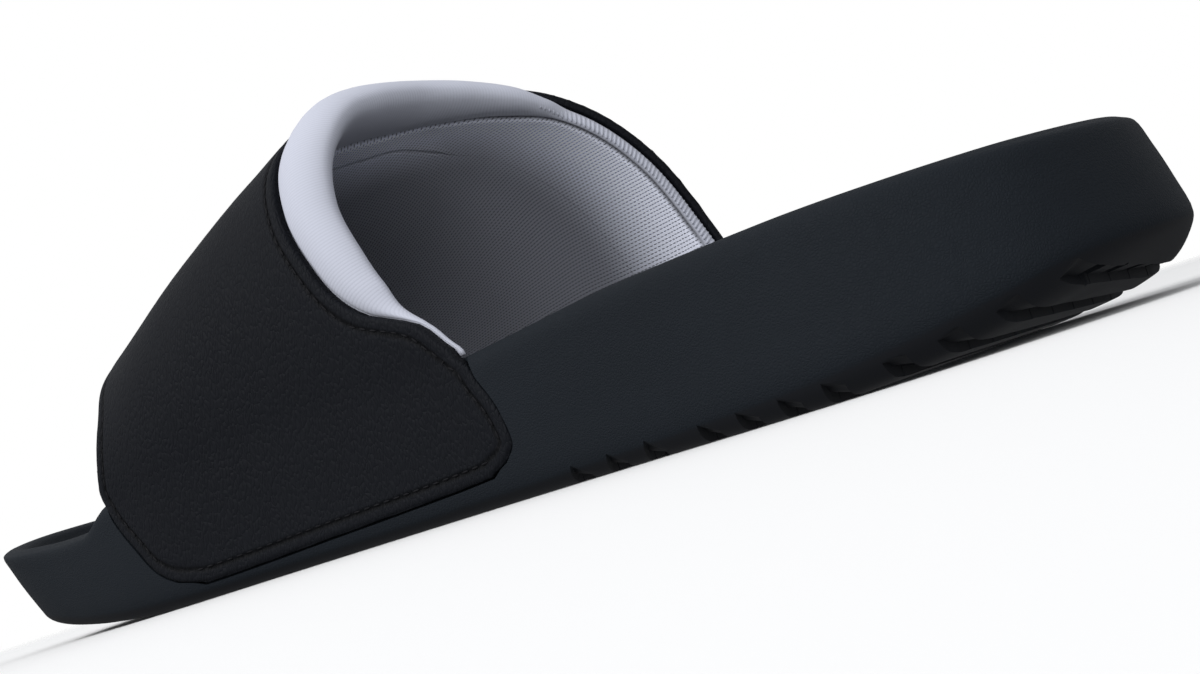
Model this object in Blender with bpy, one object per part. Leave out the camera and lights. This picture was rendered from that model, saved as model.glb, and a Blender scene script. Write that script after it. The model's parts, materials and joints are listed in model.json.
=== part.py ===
"""Right-foot slide sandal: one moulded foam sole, a strap shell and a padded strap lining.

The sandal stands on its tread with the toe along +Y and its inner side along -X.
All tables are in millimetres and the scene is built in metres.
"""

import math

import bmesh
import bpy
import numpy as np

MM = 0.001

# Main sizes
ORIGIN_SHIFT = (0.665, 0.443)
OUTLINE_POINTS = 84
GAP = 0.3
LIP_GAP = 0.45
SHELL_WALL = 2.0
SHELL_PROUD = 0.8
GROOVE_WIDTH = 3.2
GROOVE_DRAFT = 0.8

# Sole outline seen from above, 290 long, from the toe along the inner side: x, y
OUTLINE = (
    (-10.0, 145.0),
    (-34.5, 136.0),
    (-48.6, 119.0),
    (-52.5, 90.0),
    (-51.0, 55.0),
    (-41.9, 20.0),
    (-36.2, -20.0),
    (-36.2, -60.0),
    (-38.8, -92.0),
    (-36.0, -118.0),
    (-22.5, -138.5),
    (0.0, -145.0),
    (22.0, -137.0),
    (34.5, -112.0),
    (38.2, -85.0),
    (39.8, -48.0),
    (45.2, -12.0),
    (50.2, 20.0),
    (53.2, 55.0),
    (51.0, 90.0),
    (38.5, 121.0),
    (14.0, 140.5),
)

# Heights along the sole: y, tread, shoulder, rim, footbed
HEIGHTS = (
    (-145.0, 8.0, 10.8, 27.6, 21.4),
    (-132.0, 3.8, 8.4, 28.0, 20.2),
    (-118.0, 1.2, 6.2, 28.4, 19.6),
    (-98.0, 0.0, 4.6, 28.8, 19.4),
    (-70.0, 0.0, 3.6, 28.8, 20.0),
    (-40.0, 0.0, 3.0, 27.5, 20.2),
    (0.0, 0.0, 2.6, 25.0, 18.2),
    (40.0, 0.0, 2.6, 22.4, 15.6),
    (62.0, 0.0, 3.2, 21.2, 14.8),
    (84.0, 1.1, 4.6, 20.8, 14.8),
    (110.0, 4.0, 8.0, 22.4, 16.4),
    (130.0, 7.8, 10.6, 24.4, 18.8),
    (145.0, 11.0, 12.4, 25.8, 21.0),
)

# How far the wall stands inside the outline: y, at the shoulder, at the rim
WALL_INSETS = (
    (-145.0, 0.0, 4.2),
    (-110.0, 0.4, 4.8),
    (-60.0, 0.3, 2.4),
    (0.0, 0.0, 2.0),
    (60.0, 0.6, 1.8),
    (100.0, 2.2, 1.0),
    (128.0, 5.6, -0.6),
    (145.0, 8.0, -1.4),
)

# Rings round the body from under the tread to the footbed
# Each row: inset, share of the way from tread to shoulder
TREAD_RINGS = (
    (14.0, 0.0),
    (7.0, 0.0),
    (3.2, 0.12),
    (1.0, 0.48),
    (0.0, 1.0),
)
# Each row: share of the way from shoulder to rim, bulge outwards
WALL_RINGS = (
    (0.35, 0.5),
    (0.68, 0.5),
    (0.92, 0.15),
)
# Each row: inset from the rim line, drop below the rim
LIP_RINGS = (
    (0.9, 0.55),
    (2.6, 0.0),
    (4.8, 0.6),
    (6.2, 2.4),
)
# Each row: inset from the rim line, rise above the footbed
FOOTBED_RINGS = (
    (7.4, 2.2),
    (10.0, 0.7),
    (15.0, 0.1),
)
FOOTBED_COLUMNS = (0.2, 0.4, 0.6, 0.8)
ARCH_RISE = (-24.0, -30.0, 16.0, 42.0, 3.0)
STRAP_FOOT_RISE = (-28.0, 30.0, 68.5, 80.0, 4.0)

# Strap sections across the foot: y, crest x, crest height, inner fullness, outer fullness
SECTIONS = (
    (-60.0, -6.0, 84.0, 2.4, 2.2),
    (-20.0, -7.0, 85.5, 2.4, 2.2),
    (5.0, -7.5, 85.0, 2.4, 2.15),
    (25.0, -7.0, 80.0, 2.4, 2.1),
    (45.0, -6.0, 72.8, 2.3, 2.1),
    (65.0, -4.0, 64.6, 2.14, 2.1),
    (80.0, -3.0, 58.4, 2.06, 2.1),
    (95.0, -2.0, 52.5, 2.04, 2.1),
    (115.0, -1.0, 45.0, 2.04, 2.1),
)

# Strap edges: station across the strap, rear y, front y
# Stations below 0 and above 1 lie on the sole's wall, 0 and 1 at its rim
STRAP_EDGES = (
    (-1.000, -30.0, 44.0),
    (-0.930, -34.0, 51.0),
    (-0.800, -36.8, 56.5),
    (-0.550, -35.6, 61.0),
    (-0.250, -32.0, 65.5),
    (0.000, -28.2, 67.8),
    (0.010, -25.8, 67.9),
    (0.030, -21.2, 67.6),
    (0.041, -16.3, 67.3),
    (0.055, -9.4, 67.0),
    (0.083, -3.0, 66.6),
    (0.120, 1.4, 66.3),
    (0.200, 7.6, 69.6),
    (0.320, 11.6, 75.6),
    (0.440, 12.0, 79.0),
    (0.540, 7.5, 79.8),
    (0.600, -1.0, 79.4),
    (0.650, -9.5, 79.0),
    (0.693, -15.4, 78.4),
    (0.724, -18.6, 77.6),
    (0.769, -22.6, 76.8),
    (0.850, -28.0, 75.0),
    (0.920, -31.5, 73.6),
    (1.000, -36.0, 70.5),
    (1.250, -39.5, 67.5),
    (1.550, -42.0, 63.0),
    (1.800, -42.5, 58.0),
    (1.930, -39.5, 52.0),
    (2.000, -34.5, 45.0),
)
SHELL_STATIONS = (
    -1.0, -0.96, -0.88, -0.72, -0.48, -0.24, 0.0, 0.012, 0.026, 0.041, 0.055, 0.083, 0.12,
    0.16, 0.2, 0.26, 0.33, 0.4, 0.47, 0.54, 0.6, 0.65, 0.693, 0.73, 0.77, 0.82, 0.88, 0.93,
    0.97, 1.0, 1.24, 1.48, 1.72, 1.88, 1.96, 2.0,
)
SHELL_COLUMNS = 10

# Bottom edge of the strap on the wall: y, height at the inner side, height at the outer side
STRAP_BOTTOM = (
    (-45.0, 6.0, 6.0),
    (-20.0, 5.0, 5.0),
    (10.0, 4.2, 4.2),
    (45.0, 3.4, 3.4),
    (75.0, 5.0, 5.0),
)

# Padding of the lining: station, rear roll length, rear roll swell, front roll length, wall, tuck
# Tuck is how far inside the shell's rear edge the roll starts
ROLLS = (
    (0.000, 1.0, 0.0, 0.9, 1.6, 0.0),
    (0.026, 1.2, 0.0, 1.0, 1.9, 0.0),
    (0.041, 3.2, 0.1, 1.2, 2.6, 0.0),
    (0.055, 7.4, 0.3, 1.4, 3.0, 0.0),
    (0.083, 11.4, 0.6, 1.7, 3.4, 0.0),
    (0.130, 12.0, 0.8, 2.0, 3.6, 0.0),
    (0.200, 12.8, 1.0, 2.4, 3.6, 0.0),
    (0.340, 14.0, 1.1, 2.6, 3.6, 0.0),
    (0.450, 14.0, 1.1, 2.6, 3.6, 0.0),
    (0.540, 12.0, 0.9, 2.6, 3.6, 0.0),
    (0.600, 8.8, 0.6, 2.6, 3.6, 0.0),
    (0.650, 5.3, 0.3, 2.5, 3.4, 0.0),
    (0.693, 2.6, 0.0, 2.4, 3.0, 0.5),
    (0.730, 1.0, 0.0, 2.2, 2.6, 1.4),
    (0.820, 0.9, 0.0, 1.8, 2.4, 1.4),
    (1.000, 0.9, 0.0, 1.0, 2.0, 1.4),
)
# Long grooves of the tread: x, y, height of the groove's roof over the tread
HOOK_GROOVES = (
    (
        (-60.0, 2.0, 7.0),
        (-48.0, 9.0, 4.4),
        (-34.0, 15.0, 3.2),
        (-24.0, 8.0, 3.0),
        (-22.0, -2.0, 3.0),
        (-26.0, -15.0, 3.0),
        (-36.0, -28.0, 3.0),
    ),
    (
        (-62.0, 14.0, 7.0),
        (-49.0, 23.0, 4.4),
        (-30.0, 33.0, 3.2),
        (-20.0, 23.0, 3.0),
        (-15.0, 8.0, 3.0),
        (-15.0, -4.0, 3.0),
        (-16.0, -20.0, 3.0),
        (-24.0, -32.0, 3.0),
    ),
    ((-64.0, 26.0, 7.5), (-50.0, 37.0, 4.8), (-28.0, 49.0, 3.2), (-18.0, 38.0, 3.0), (-13.0, 23.0, 3.0)),
    ((-66.0, 42.0, 8.5), (-52.0, 53.0, 5.2), (-29.0, 65.0, 3.2), (-18.0, 57.0, 3.0), (-10.0, 40.0, 3.0)),
    ((-66.0, 58.0, 9.5), (-52.0, 69.0, 5.6), (-29.0, 82.0, 3.3), (-17.0, 74.0, 3.0), (-8.0, 56.0, 3.0)),
    ((-66.0, 75.0, 10.5), (-52.0, 86.0, 6.2), (-28.0, 99.0, 3.6), (-14.0, 90.0, 3.2), (0.0, 62.0, 3.0)),
    ((-64.0, 92.0, 10.5), (-50.0, 104.0, 6.4), (-26.0, 115.0, 3.8), (-11.0, 106.0, 3.4), (7.0, 75.0, 3.0)),
    ((-58.0, 110.0, 10.5), (-43.0, 120.0, 6.4), (-22.0, 130.0, 4.2), (-6.0, 122.0, 3.6), (14.0, 92.0, 3.0)),
)
# Rows of straight heel grooves: first y at the near end, count, pitch, near x, far x, rise in y
HEEL_GROOVES = (
    (-146.0, 4, 8.6, -52.0, 54.0, 22.0),
    (-112.4, 4, 8.4, -54.0, -20.0, 12.0),
    (-79.6, 3, 8.8, -54.0, -18.0, 23.0),
    (-101.0, 4, 8.6, 17.0, 56.0, 14.0),
)
# Long grooves along the outer side: distance inside the outline, first y, last y
SIDE_GROOVES = (
    (7.5, -8.0, 66.0),
    (14.0, -62.0, 84.0),
    (22.0, -56.0, 30.0),
)
SIDE_GROOVE_WIDTH = 2.4
SIDE_GROOVE_POINTS = 8


def table(rows, column):
    """Smooth function through one named column of a table, held level past its ends."""
    keys = np.array([row[0] for row in rows])
    values = np.array([row[column] for row in rows])
    steps = np.diff(keys)
    rises = np.diff(values) / steps
    slopes = np.zeros(len(keys))
    for i in range(1, len(keys) - 1):
        if rises[i - 1] * rises[i] > 0:
            weights = (2 * steps[i] + steps[i - 1], steps[i] + 2 * steps[i - 1])
            slopes[i] = sum(weights) / (weights[0] / rises[i - 1] + weights[1] / rises[i])

    def at(key):
        key = min(max(key, keys[0]), keys[-1])
        i = min(int(np.searchsorted(keys, key, side="right")) - 1, len(steps) - 1)
        t = (key - keys[i]) / steps[i]
        a = (1 + 2 * t) * (1 - t) ** 2 * values[i] + t * (1 - t) ** 2 * steps[i] * slopes[i]
        b = t * t * (3 - 2 * t) * values[i + 1] + t * t * (t - 1) * steps[i] * slopes[i + 1]
        return float(a + b)

    return at


tread_height = table(HEIGHTS, 1)
shoulder_height = table(HEIGHTS, 2)
plain_rim_height = table(HEIGHTS, 3)
plain_footbed_height = table(HEIGHTS, 4)
shoulder_inset = table(WALL_INSETS, 1)
rim_inset = table(WALL_INSETS, 2)
crest_x = table(SECTIONS, 1)
crest_height = table(SECTIONS, 2)
inner_fullness = table(SECTIONS, 3)
outer_fullness = table(SECTIONS, 4)
rear_edge = table(STRAP_EDGES, 1)
front_edge = table(STRAP_EDGES, 2)
inner_bottom = table(STRAP_BOTTOM, 1)
outer_bottom = table(STRAP_BOTTOM, 2)
roll_length = table(ROLLS, 1)
roll_swell = table(ROLLS, 2)
front_roll_length = table(ROLLS, 3)
lining_wall = table(ROLLS, 4)
roll_tuck = table(ROLLS, 5)


def blend(value, low, high):
    """Smooth step from 0 at low to 1 at high."""
    share = min(max((value - low) / (high - low), 0.0), 1.0)
    return share * share * (3 - 2 * share)


def rim_height(y):
    """Rim with the rise at the front foot of the strap."""
    start, full, hold, end, rise = STRAP_FOOT_RISE
    return plain_rim_height(y) + rise * blend(y, start, full) * (1 - blend(y, hold, end))


def footbed_height(x, y):
    """Footbed with the support under the arch of the foot."""
    centre_x, centre_y, reach_x, reach_y, rise = ARCH_RISE
    far = ((x - centre_x) / reach_x) ** 2 + ((y - centre_y) / reach_y) ** 2
    return plain_footbed_height(y) + rise * math.exp(-far)


def closed_spline(points, count):
    """Points evenly spaced round a smooth closed curve through the given points."""
    given = np.array(points)
    dense = []
    for i in range(len(given)):
        p = [given[(i + k) % len(given)] for k in (-1, 0, 1, 2)]
        knots = [0.0]
        for k in range(3):
            knots.append(knots[-1] + float(np.linalg.norm(p[k + 1] - p[k])) ** 0.5)
        for t in np.linspace(knots[1], knots[2], 24, endpoint=False):
            a = [
                (knots[k + 1] - t) / (knots[k + 1] - knots[k]) * p[k]
                + (t - knots[k]) / (knots[k + 1] - knots[k]) * p[k + 1]
                for k in range(3)
            ]
            b = [
                (knots[k + 2] - t) / (knots[k + 2] - knots[k]) * a[k]
                + (t - knots[k]) / (knots[k + 2] - knots[k]) * a[k + 1]
                for k in range(2)
            ]
            share = (t - knots[1]) / (knots[2] - knots[1])
            dense.append((1 - share) * b[0] + share * b[1])
    dense = np.array(dense + dense[:1])
    run = np.r_[0, np.cumsum(np.linalg.norm(np.diff(dense, axis=0), axis=1))]
    even = np.linspace(0, run[-1], count, endpoint=False)
    return np.c_[np.interp(even, run, dense[:, 0]), np.interp(even, run, dense[:, 1])]


def outward(points):
    """Unit outward normals of a closed run of points that goes anticlockwise."""
    along = np.roll(points, -1, axis=0) - np.roll(points, 1, axis=0)
    along /= np.linalg.norm(along, axis=1)[:, None]
    return np.c_[along[:, 1], -along[:, 0]]


RIM_LINE = closed_spline(OUTLINE, OUTLINE_POINTS)
NORMALS = outward(RIM_LINE)
FINE_LINE = closed_spline(OUTLINE, 720)
FINE_LAST = int(np.argmin(FINE_LINE[:, 1]))


def outline_x(side, y):
    """Outline of the sole at one y on the inner side (-1) or the outer side (1)."""
    if side < 0:
        run = FINE_LINE[8:FINE_LAST - 8][::-1]
    else:
        run = FINE_LINE[FINE_LAST + 8:-24]
    return float(np.interp(y, run[:, 1], run[:, 0]))


def wall_x(side, y, z):
    """Outer face of the sole's wall at one height."""
    low = shoulder_height(y)
    share = (z - low) / (rim_height(y) - low)
    share = min(max(share, 0.0), 1.0)
    inset = shoulder_inset(y) + (rim_inset(y) - shoulder_inset(y)) * share
    return outline_x(side, y) - side * inset


def strap_point(station, y):
    """Outer face of the strap at a station across it and a y along the foot."""
    side = -1 if station < 0.5 else 1
    base = rim_height(y) + LIP_GAP
    foot = wall_x(side, y, base) + side * SHELL_PROUD
    if station < 0 or station > 1:
        down = -station if station < 0 else station - 1
        bottom = inner_bottom(y) if side < 0 else outer_bottom(y)
        z = base + (bottom - base) * down
        return np.array([wall_x(side, y, z) + side * SHELL_PROUD, y, z])
    angle = math.pi * (station if side < 0 else 1 - station)
    fullness = inner_fullness(y) if side < 0 else outer_fullness(y)
    across = max(math.cos(angle), 0.0) ** (2 / fullness)
    upward = math.sin(angle) ** (2 / fullness)
    centre = crest_x(y)
    return np.array(
        [centre + (foot - centre) * across, y, base + (crest_height(y) - base) * upward]
    )


def strap_inward(station, y):
    """Unit normal into the foot at a point of the strap."""
    reach = 0.012
    before = min(max(station - reach, -1.0), 2.0)
    after = min(max(station + reach, -1.0), 2.0)
    if station <= 0:
        before, after = min(station, -0.1) - 0.1, min(station, -0.1) + 0.1
    elif station >= 1:
        before, after = max(station, 1.1) - 0.1, max(station, 1.1) + 0.1
    across = strap_point(after, y) - strap_point(before, y)
    along = strap_point(station, y + 1.5) - strap_point(station, y - 1.5)
    normal = np.cross(along, across)
    return normal / np.linalg.norm(normal)


def new_object(name, points, faces, collection):
    """Mesh object from points in millimetres, its faces turned outwards."""
    mesh = bpy.data.meshes.new(name)
    moved = np.array(points, float) - (*ORIGIN_SHIFT, 0.0)
    mesh.from_pydata((moved * MM).tolist(), [], faces)
    built = bmesh.new()
    built.from_mesh(mesh)
    bmesh.ops.recalc_face_normals(built, faces=built.faces)
    built.to_mesh(mesh)
    built.free()
    mesh.validate()
    obj = bpy.data.objects.new(name, mesh)
    collection.objects.link(obj)
    return obj


def grid_faces(rows, columns, closed_columns=False, split=False):
    """Faces of a grid of points counted row by row, as quads or split the same way."""
    faces = []
    for i in range(rows - 1):
        for j in range(columns if closed_columns else columns - 1):
            a = i * columns + j
            b = i * columns + (j + 1) % columns
            c = (i + 1) * columns + (j + 1) % columns
            d = (i + 1) * columns + j
            faces += [(a, b, c), (a, c, d)] if split else [(a, b, c, d)]
    return faces


def sole_rings():
    """Closed rings of points from under the tread, round the wall and lip, to the footbed."""
    rings = []
    for inset, share in TREAD_RINGS:
        ring = []
        for point, normal in zip(RIM_LINE, NORMALS):
            x, y = point - normal * (inset + shoulder_inset(point[1]))
            low, high = tread_height(y), shoulder_height(point[1])
            ring.append((x, y, low + (high - low) * share))
        rings.append(ring)
    for share, bulge in WALL_RINGS:
        ring = []
        for point, normal in zip(RIM_LINE, NORMALS):
            low, high = shoulder_inset(point[1]), rim_inset(point[1])
            x, y = point - normal * (low + (high - low) * share - bulge)
            bottom, top = shoulder_height(point[1]), rim_height(y)
            ring.append((x, y, bottom + (top - bottom) * share))
        rings.append(ring)
    for inset, drop in LIP_RINGS:
        ring = []
        for point, normal in zip(RIM_LINE, NORMALS):
            x, y = point - normal * (rim_inset(point[1]) + inset)
            ring.append((x, y, rim_height(y) - drop))
        rings.append(ring)
    for inset, rise in FOOTBED_RINGS:
        ring = []
        for point, normal in zip(RIM_LINE, NORMALS):
            x, y = point - normal * (rim_inset(point[1]) + inset)
            ring.append((x, y, footbed_height(x, y) + rise))
        rings.append(ring)
    return rings


def bridge(points, faces, ring, start, shares, height):
    """Closes a ring with strips from its inner side to its outer side."""
    count = len(ring)
    half = count // 2
    columns = []
    for i in range(1, half):
        a, b = start + i, start + count - i
        column = [a]
        for share in shares:
            x = ring[i][0] + (ring[count - i][0] - ring[i][0]) * share
            y = ring[i][1] + (ring[count - i][1] - ring[i][1]) * share
            points.append((x, y, height(x, y)))
            column.append(len(points) - 1)
        column.append(b)
        columns.append(column)
    for first, second in zip(columns, columns[1:]):
        for i in range(len(first) - 1):
            faces.append((first[i], first[i + 1], second[i + 1], second[i]))
    for tip, column in ((start, columns[0]), (start + half, columns[-1])):
        for i in range(len(column) - 1):
            faces.append((tip, column[i], column[i + 1]))


def sole_body(collection):
    """Sole without its grooves and strap recesses."""
    rings = sole_rings()
    count = len(rings[0])
    points = [p for ring in rings for p in ring]
    faces = grid_faces(len(rings), count, closed_columns=True)
    bridge(points, faces, rings[0], 0, (), lambda x, y: 0.0)
    last = (len(rings) - 1) * count
    bridge(points, faces, rings[-1], last, FOOTBED_COLUMNS, footbed_height)
    return new_object("sole", points, faces, collection)


def groove_prism(path, width, points, faces):
    """Adds a closed cutter under the tread that follows a run of x, y, roof rows."""
    start = len(points)
    line = np.array([p[:2] for p in path])
    for i, (x, y, roof) in enumerate(path):
        along = line[min(i + 1, len(line) - 1)] - line[max(i - 1, 0)]
        along = along / np.linalg.norm(along)
        across = np.array([-along[1], along[0]])
        top = tread_height(y) + roof
        wide, narrow = width / 2, (width - GROOVE_DRAFT) / 2
        for reach, z in ((-wide, -4.0), (wide, -4.0), (narrow, top), (-narrow, top)):
            points.append((x + across[0] * reach, y + across[1] * reach, z))
    for i in range(len(path) - 1):
        for j in range(4):
            a, b = start + 4 * i + j, start + 4 * i + (j + 1) % 4
            faces.append((a, b, b + 4, a + 4))
    end = start + 4 * (len(path) - 1)
    faces.append((start + 3, start + 2, start + 1, start))
    faces.append((end, end + 1, end + 2, end + 3))


def rounded_path(path, steps):
    """Smooth run through the points of a groove."""
    given = np.array(path)
    run = []
    for i in range(len(given) - 1):
        p0 = given[max(i - 1, 0)]
        p1, p2 = given[i], given[i + 1]
        p3 = given[min(i + 2, len(given) - 1)]
        for t in np.linspace(0, 1, steps, endpoint=False):
            run.append(
                0.5 * (2 * p1 + (p2 - p0) * t + (2 * p0 - 5 * p1 + 4 * p2 - p3) * t * t
                       + (3 * p1 - p0 - 3 * p2 + p3) * t ** 3)
            )
    run.append(given[-1])
    return run


def tread_cutter(collection):
    """All grooves of the tread as one cutter."""
    points, faces = [], []
    for path in HOOK_GROOVES:
        groove_prism(rounded_path(path, 2), GROOVE_WIDTH, points, faces)
    for first, count, pitch, near_x, far_x, rise in HEEL_GROOVES:
        for k in range(count):
            y = first + k * pitch
            path = []
            for share in (0.0, 0.2, 0.5, 0.8, 1.0):
                x = near_x + (far_x - near_x) * share
                bow = y + rise * share
                edge = abs(x) - abs(outline_x(-1 if x < 0 else 1, bow))
                lift = 3.2 + 6.5 * blend(edge, -7.0, 5.0)
                path.append((x, bow, lift))
            groove_prism(path, GROOVE_WIDTH, points, faces)
    for inset, first, last in SIDE_GROOVES:
        path = []
        for y in np.linspace(first, last, SIDE_GROOVE_POINTS):
            path.append((outline_x(1, y) - inset, float(y), 2.6))
        groove_prism(path, SIDE_GROOVE_WIDTH, points, faces)
    return new_object("tread_cutter", points, faces, collection)


def edge_gap(station, edge):
    """Gap along y that leaves the usual gap square to a slanting edge of the strap."""
    low, high = max(station - 0.01, -1.0), min(station + 0.01, 2.0)
    run = strap_point(high, edge(high)) - strap_point(low, edge(low))
    square = math.hypot(run[0], run[2]) / float(np.linalg.norm(run))
    return (GAP + 0.05) / max(square, 0.3)


def recess_cutter(side, collection):
    """Pocket in the sole's wall for one end of the strap."""
    stations = [s for s in SHELL_STATIONS if (s <= 0.045 if side < 0 else s >= 0.96)]
    points = []
    for station in stations:
        low = rear_edge(station) - edge_gap(station, rear_edge)
        high = front_edge(station) + edge_gap(station, front_edge)
        for share in np.linspace(0, 1, SHELL_COLUMNS):
            y = low + (high - low) * share
            base, inward = strap_point(station, y), strap_inward(station, y)
            ends = (-1.0, 2.0)
            drop = np.array([0, 0, -GAP - 0.1 if station in ends else 0.0])
            points.append(base - inward * 6.0 + drop)
            points.append(base + inward * (SHELL_WALL + GAP) + drop)
    columns = SHELL_COLUMNS
    rows = len(stations)
    outer = grid_faces(rows, columns, split=True)
    faces = [tuple(2 * k for k in face) for face in outer]
    faces += [tuple(2 * k + 1 for k in face[::-1]) for face in outer]
    faces += rim_of_pair(rows, columns)
    name = "inner_recess_cutter" if side < 0 else "outer_recess_cutter"
    return new_object(name, points, faces, collection)


def rim_of_pair(rows, columns):
    """Faces that close the edge between two facing grids with alternating points."""
    edge = [j for j in range(columns)]
    edge += [i * columns + columns - 1 for i in range(1, rows)]
    edge += [(rows - 1) * columns + j for j in range(columns - 2, -1, -1)]
    edge += [i * columns for i in range(rows - 2, 0, -1)]
    faces = []
    for a, b in zip(edge, edge[1:] + edge[:1]):
        faces.append((2 * a, 2 * a + 1, 2 * b + 1, 2 * b))
    return faces


def strap_shell(collection):
    """Outer strap: a hollow shell from one wall of the sole over the foot to the other."""
    points = []
    for station in SHELL_STATIONS:
        low, high = rear_edge(station), front_edge(station)
        for share in np.linspace(0, 1, SHELL_COLUMNS):
            y = low + (high - low) * share
            base = strap_point(station, y)
            points.append(base)
            points.append(base + strap_inward(station, y) * SHELL_WALL)
    rows = len(SHELL_STATIONS)
    outer = grid_faces(rows, SHELL_COLUMNS, split=True)
    faces = [tuple(2 * k for k in face) for face in outer]
    faces += [tuple(2 * k + 1 for k in face[::-1]) for face in outer]
    faces += rim_of_pair(rows, SHELL_COLUMNS)
    return new_object("strap_shell", points, faces, collection)


def lining_profile(station):
    """Closed section of the lining from rear to front: y, depth below the shell's face."""
    rear, front = rear_edge(station), front_edge(station)
    length, swell = roll_length(station), roll_swell(station)
    front_length = front_roll_length(station)
    tuck = roll_tuck(station)
    behind = rear - edge_gap(station, rear_edge) + tuck
    ahead = front + edge_gap(station, front_edge)
    face = SHELL_WALL + GAP
    back = face + lining_wall(station)
    lift = face - 3.4 * swell
    deep = back + 0.9 * swell
    middle = (lift + deep) / 2
    half = deep - middle
    profile = [
        (rear + (front - rear) * k / (SHELL_COLUMNS - 1), face)
        for k in range(1, SHELL_COLUMNS - 1)
    ]
    profile += [
        (ahead, face),
        (ahead + 0.25 * front_length, face - 0.7),
        (ahead + 0.8 * front_length, face + 0.6),
        (ahead + front_length, (face + back) / 2),
        (ahead + 0.8 * front_length, back - 0.8),
        (front - 1.0, back),
    ]
    profile += [
        (rear + (front - rear) * k / (SHELL_COLUMNS - 1), back)
        for k in range(SHELL_COLUMNS - 2, 1, -1)
    ]
    profile += [
        (rear + tuck + 7.0, back + 0.2 * swell),
        (rear + tuck + 1.5, back + 0.6 * swell),
        (behind - 0.3 * length, deep),
        (behind - 0.7 * length, middle + 0.78 * half),
        (behind - 0.95 * length, middle + 0.36 * half),
        (behind - length, middle - 0.15 * half),
        (behind - 0.84 * length, middle - 0.7 * half),
        (behind - 0.5 * length, lift),
        (behind - 0.12 * length, face - 1.9 * swell),
        (behind, face),
    ]
    return profile


def strap_lining(collection):
    """Padded inside of the strap with its rolled rear collar and its front collar."""
    points = []
    stations = [station for station in SHELL_STATIONS if 0 <= station <= 1]
    for station in stations:
        for y, depth in lining_profile(station):
            point = strap_point(station, y) + strap_inward(station, y) * depth
            if station in (0.0, 1.0):
                point[2] = rim_height(point[1]) + LIP_GAP
            points.append(point)
    rows = len(stations)
    columns = len(points) // rows
    faces = grid_faces(rows, columns, closed_columns=True, split=True)
    for first in (0, (rows - 1) * columns):
        faces += lining_end(first, columns)
    return new_object("strap_lining", points, faces, collection)


def lining_end(first, columns):
    """Closes one end of the lining with short faces from its outer to its inner side."""
    last = SHELL_COLUMNS - 3
    back = last + 7
    faces = [
        (first + k, first + k + 1, first + back + last - k - 1, first + back + last - k)
        for k in range(1, last)
    ]
    faces.append(tuple(first + k for k in range(last, back + 1)))
    rest = list(range(back + last - 1, columns)) + [0, 1]
    faces.append(tuple(first + k for k in rest))
    return faces


def cut(target, cutter, crossing=False):
    """Takes a cutter away from a piece; crossing says that the cutter's own parts meet."""
    modifier = target.modifiers.new(cutter.name, "BOOLEAN")
    modifier.operation = "DIFFERENCE"
    modifier.solver = "EXACT"
    modifier.use_self = crossing
    modifier.object = cutter
    cutter.hide_render = True
    cutter.display_type = "WIRE"


def material(name, color, roughness, sheen=0.0):
    """Plain finish for one piece."""
    made = bpy.data.materials.new(name)
    made.use_nodes = True
    shader = made.node_tree.nodes["Principled BSDF"]
    shader.inputs["Base Color"].default_value = (*color, 1.0)
    shader.inputs["Roughness"].default_value = roughness
    shader.inputs["Sheen Weight"].default_value = sheen
    made.diffuse_color = (*color, 1.0)
    return made


def finish(obj, made):
    """Gives a piece its material and smooth shading with sharp corners kept."""
    obj.data.materials.append(made)
    obj.data.shade_smooth()
    obj.data.set_sharp_from_angle(angle=math.radians(38))


def main():
    """Builds the sandal's three pieces and their cutters."""
    for obj in list(bpy.data.objects):
        bpy.data.objects.remove(obj)
    scene = bpy.context.scene
    pieces = bpy.data.collections.new("slide_sandal")
    cutters = bpy.data.collections.new("cutters")
    scene.collection.children.link(pieces)
    scene.collection.children.link(cutters)
    cutters.hide_render = True

    sole = sole_body(pieces)
    cut(sole, tread_cutter(cutters), crossing=True)
    cut(sole, recess_cutter(-1, cutters))
    cut(sole, recess_cutter(1, cutters))
    shell = strap_shell(pieces)
    lining = strap_lining(pieces)

    finish(sole, material("sole_foam", (0.017, 0.020, 0.025), 0.62))
    finish(shell, material("strap_leather", (0.015, 0.015, 0.018), 0.5))
    finish(lining, material("lining_knit", (0.60, 0.62, 0.68), 0.85, 0.2))


main()
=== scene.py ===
"""Looks of a right-foot slide sandal: moulded foam sole, grained strap shell and padded knit lining.

All tables and methods work in millimetres, with the toe along +Y and the inner side along -X,
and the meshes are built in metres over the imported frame.
"""

from __future__ import annotations

import json
import logging
import math
from collections.abc import Callable
from dataclasses import dataclass
from enum import Enum

import bmesh
import bpy
import numpy as np
from mathutils import Matrix, Vector

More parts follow.
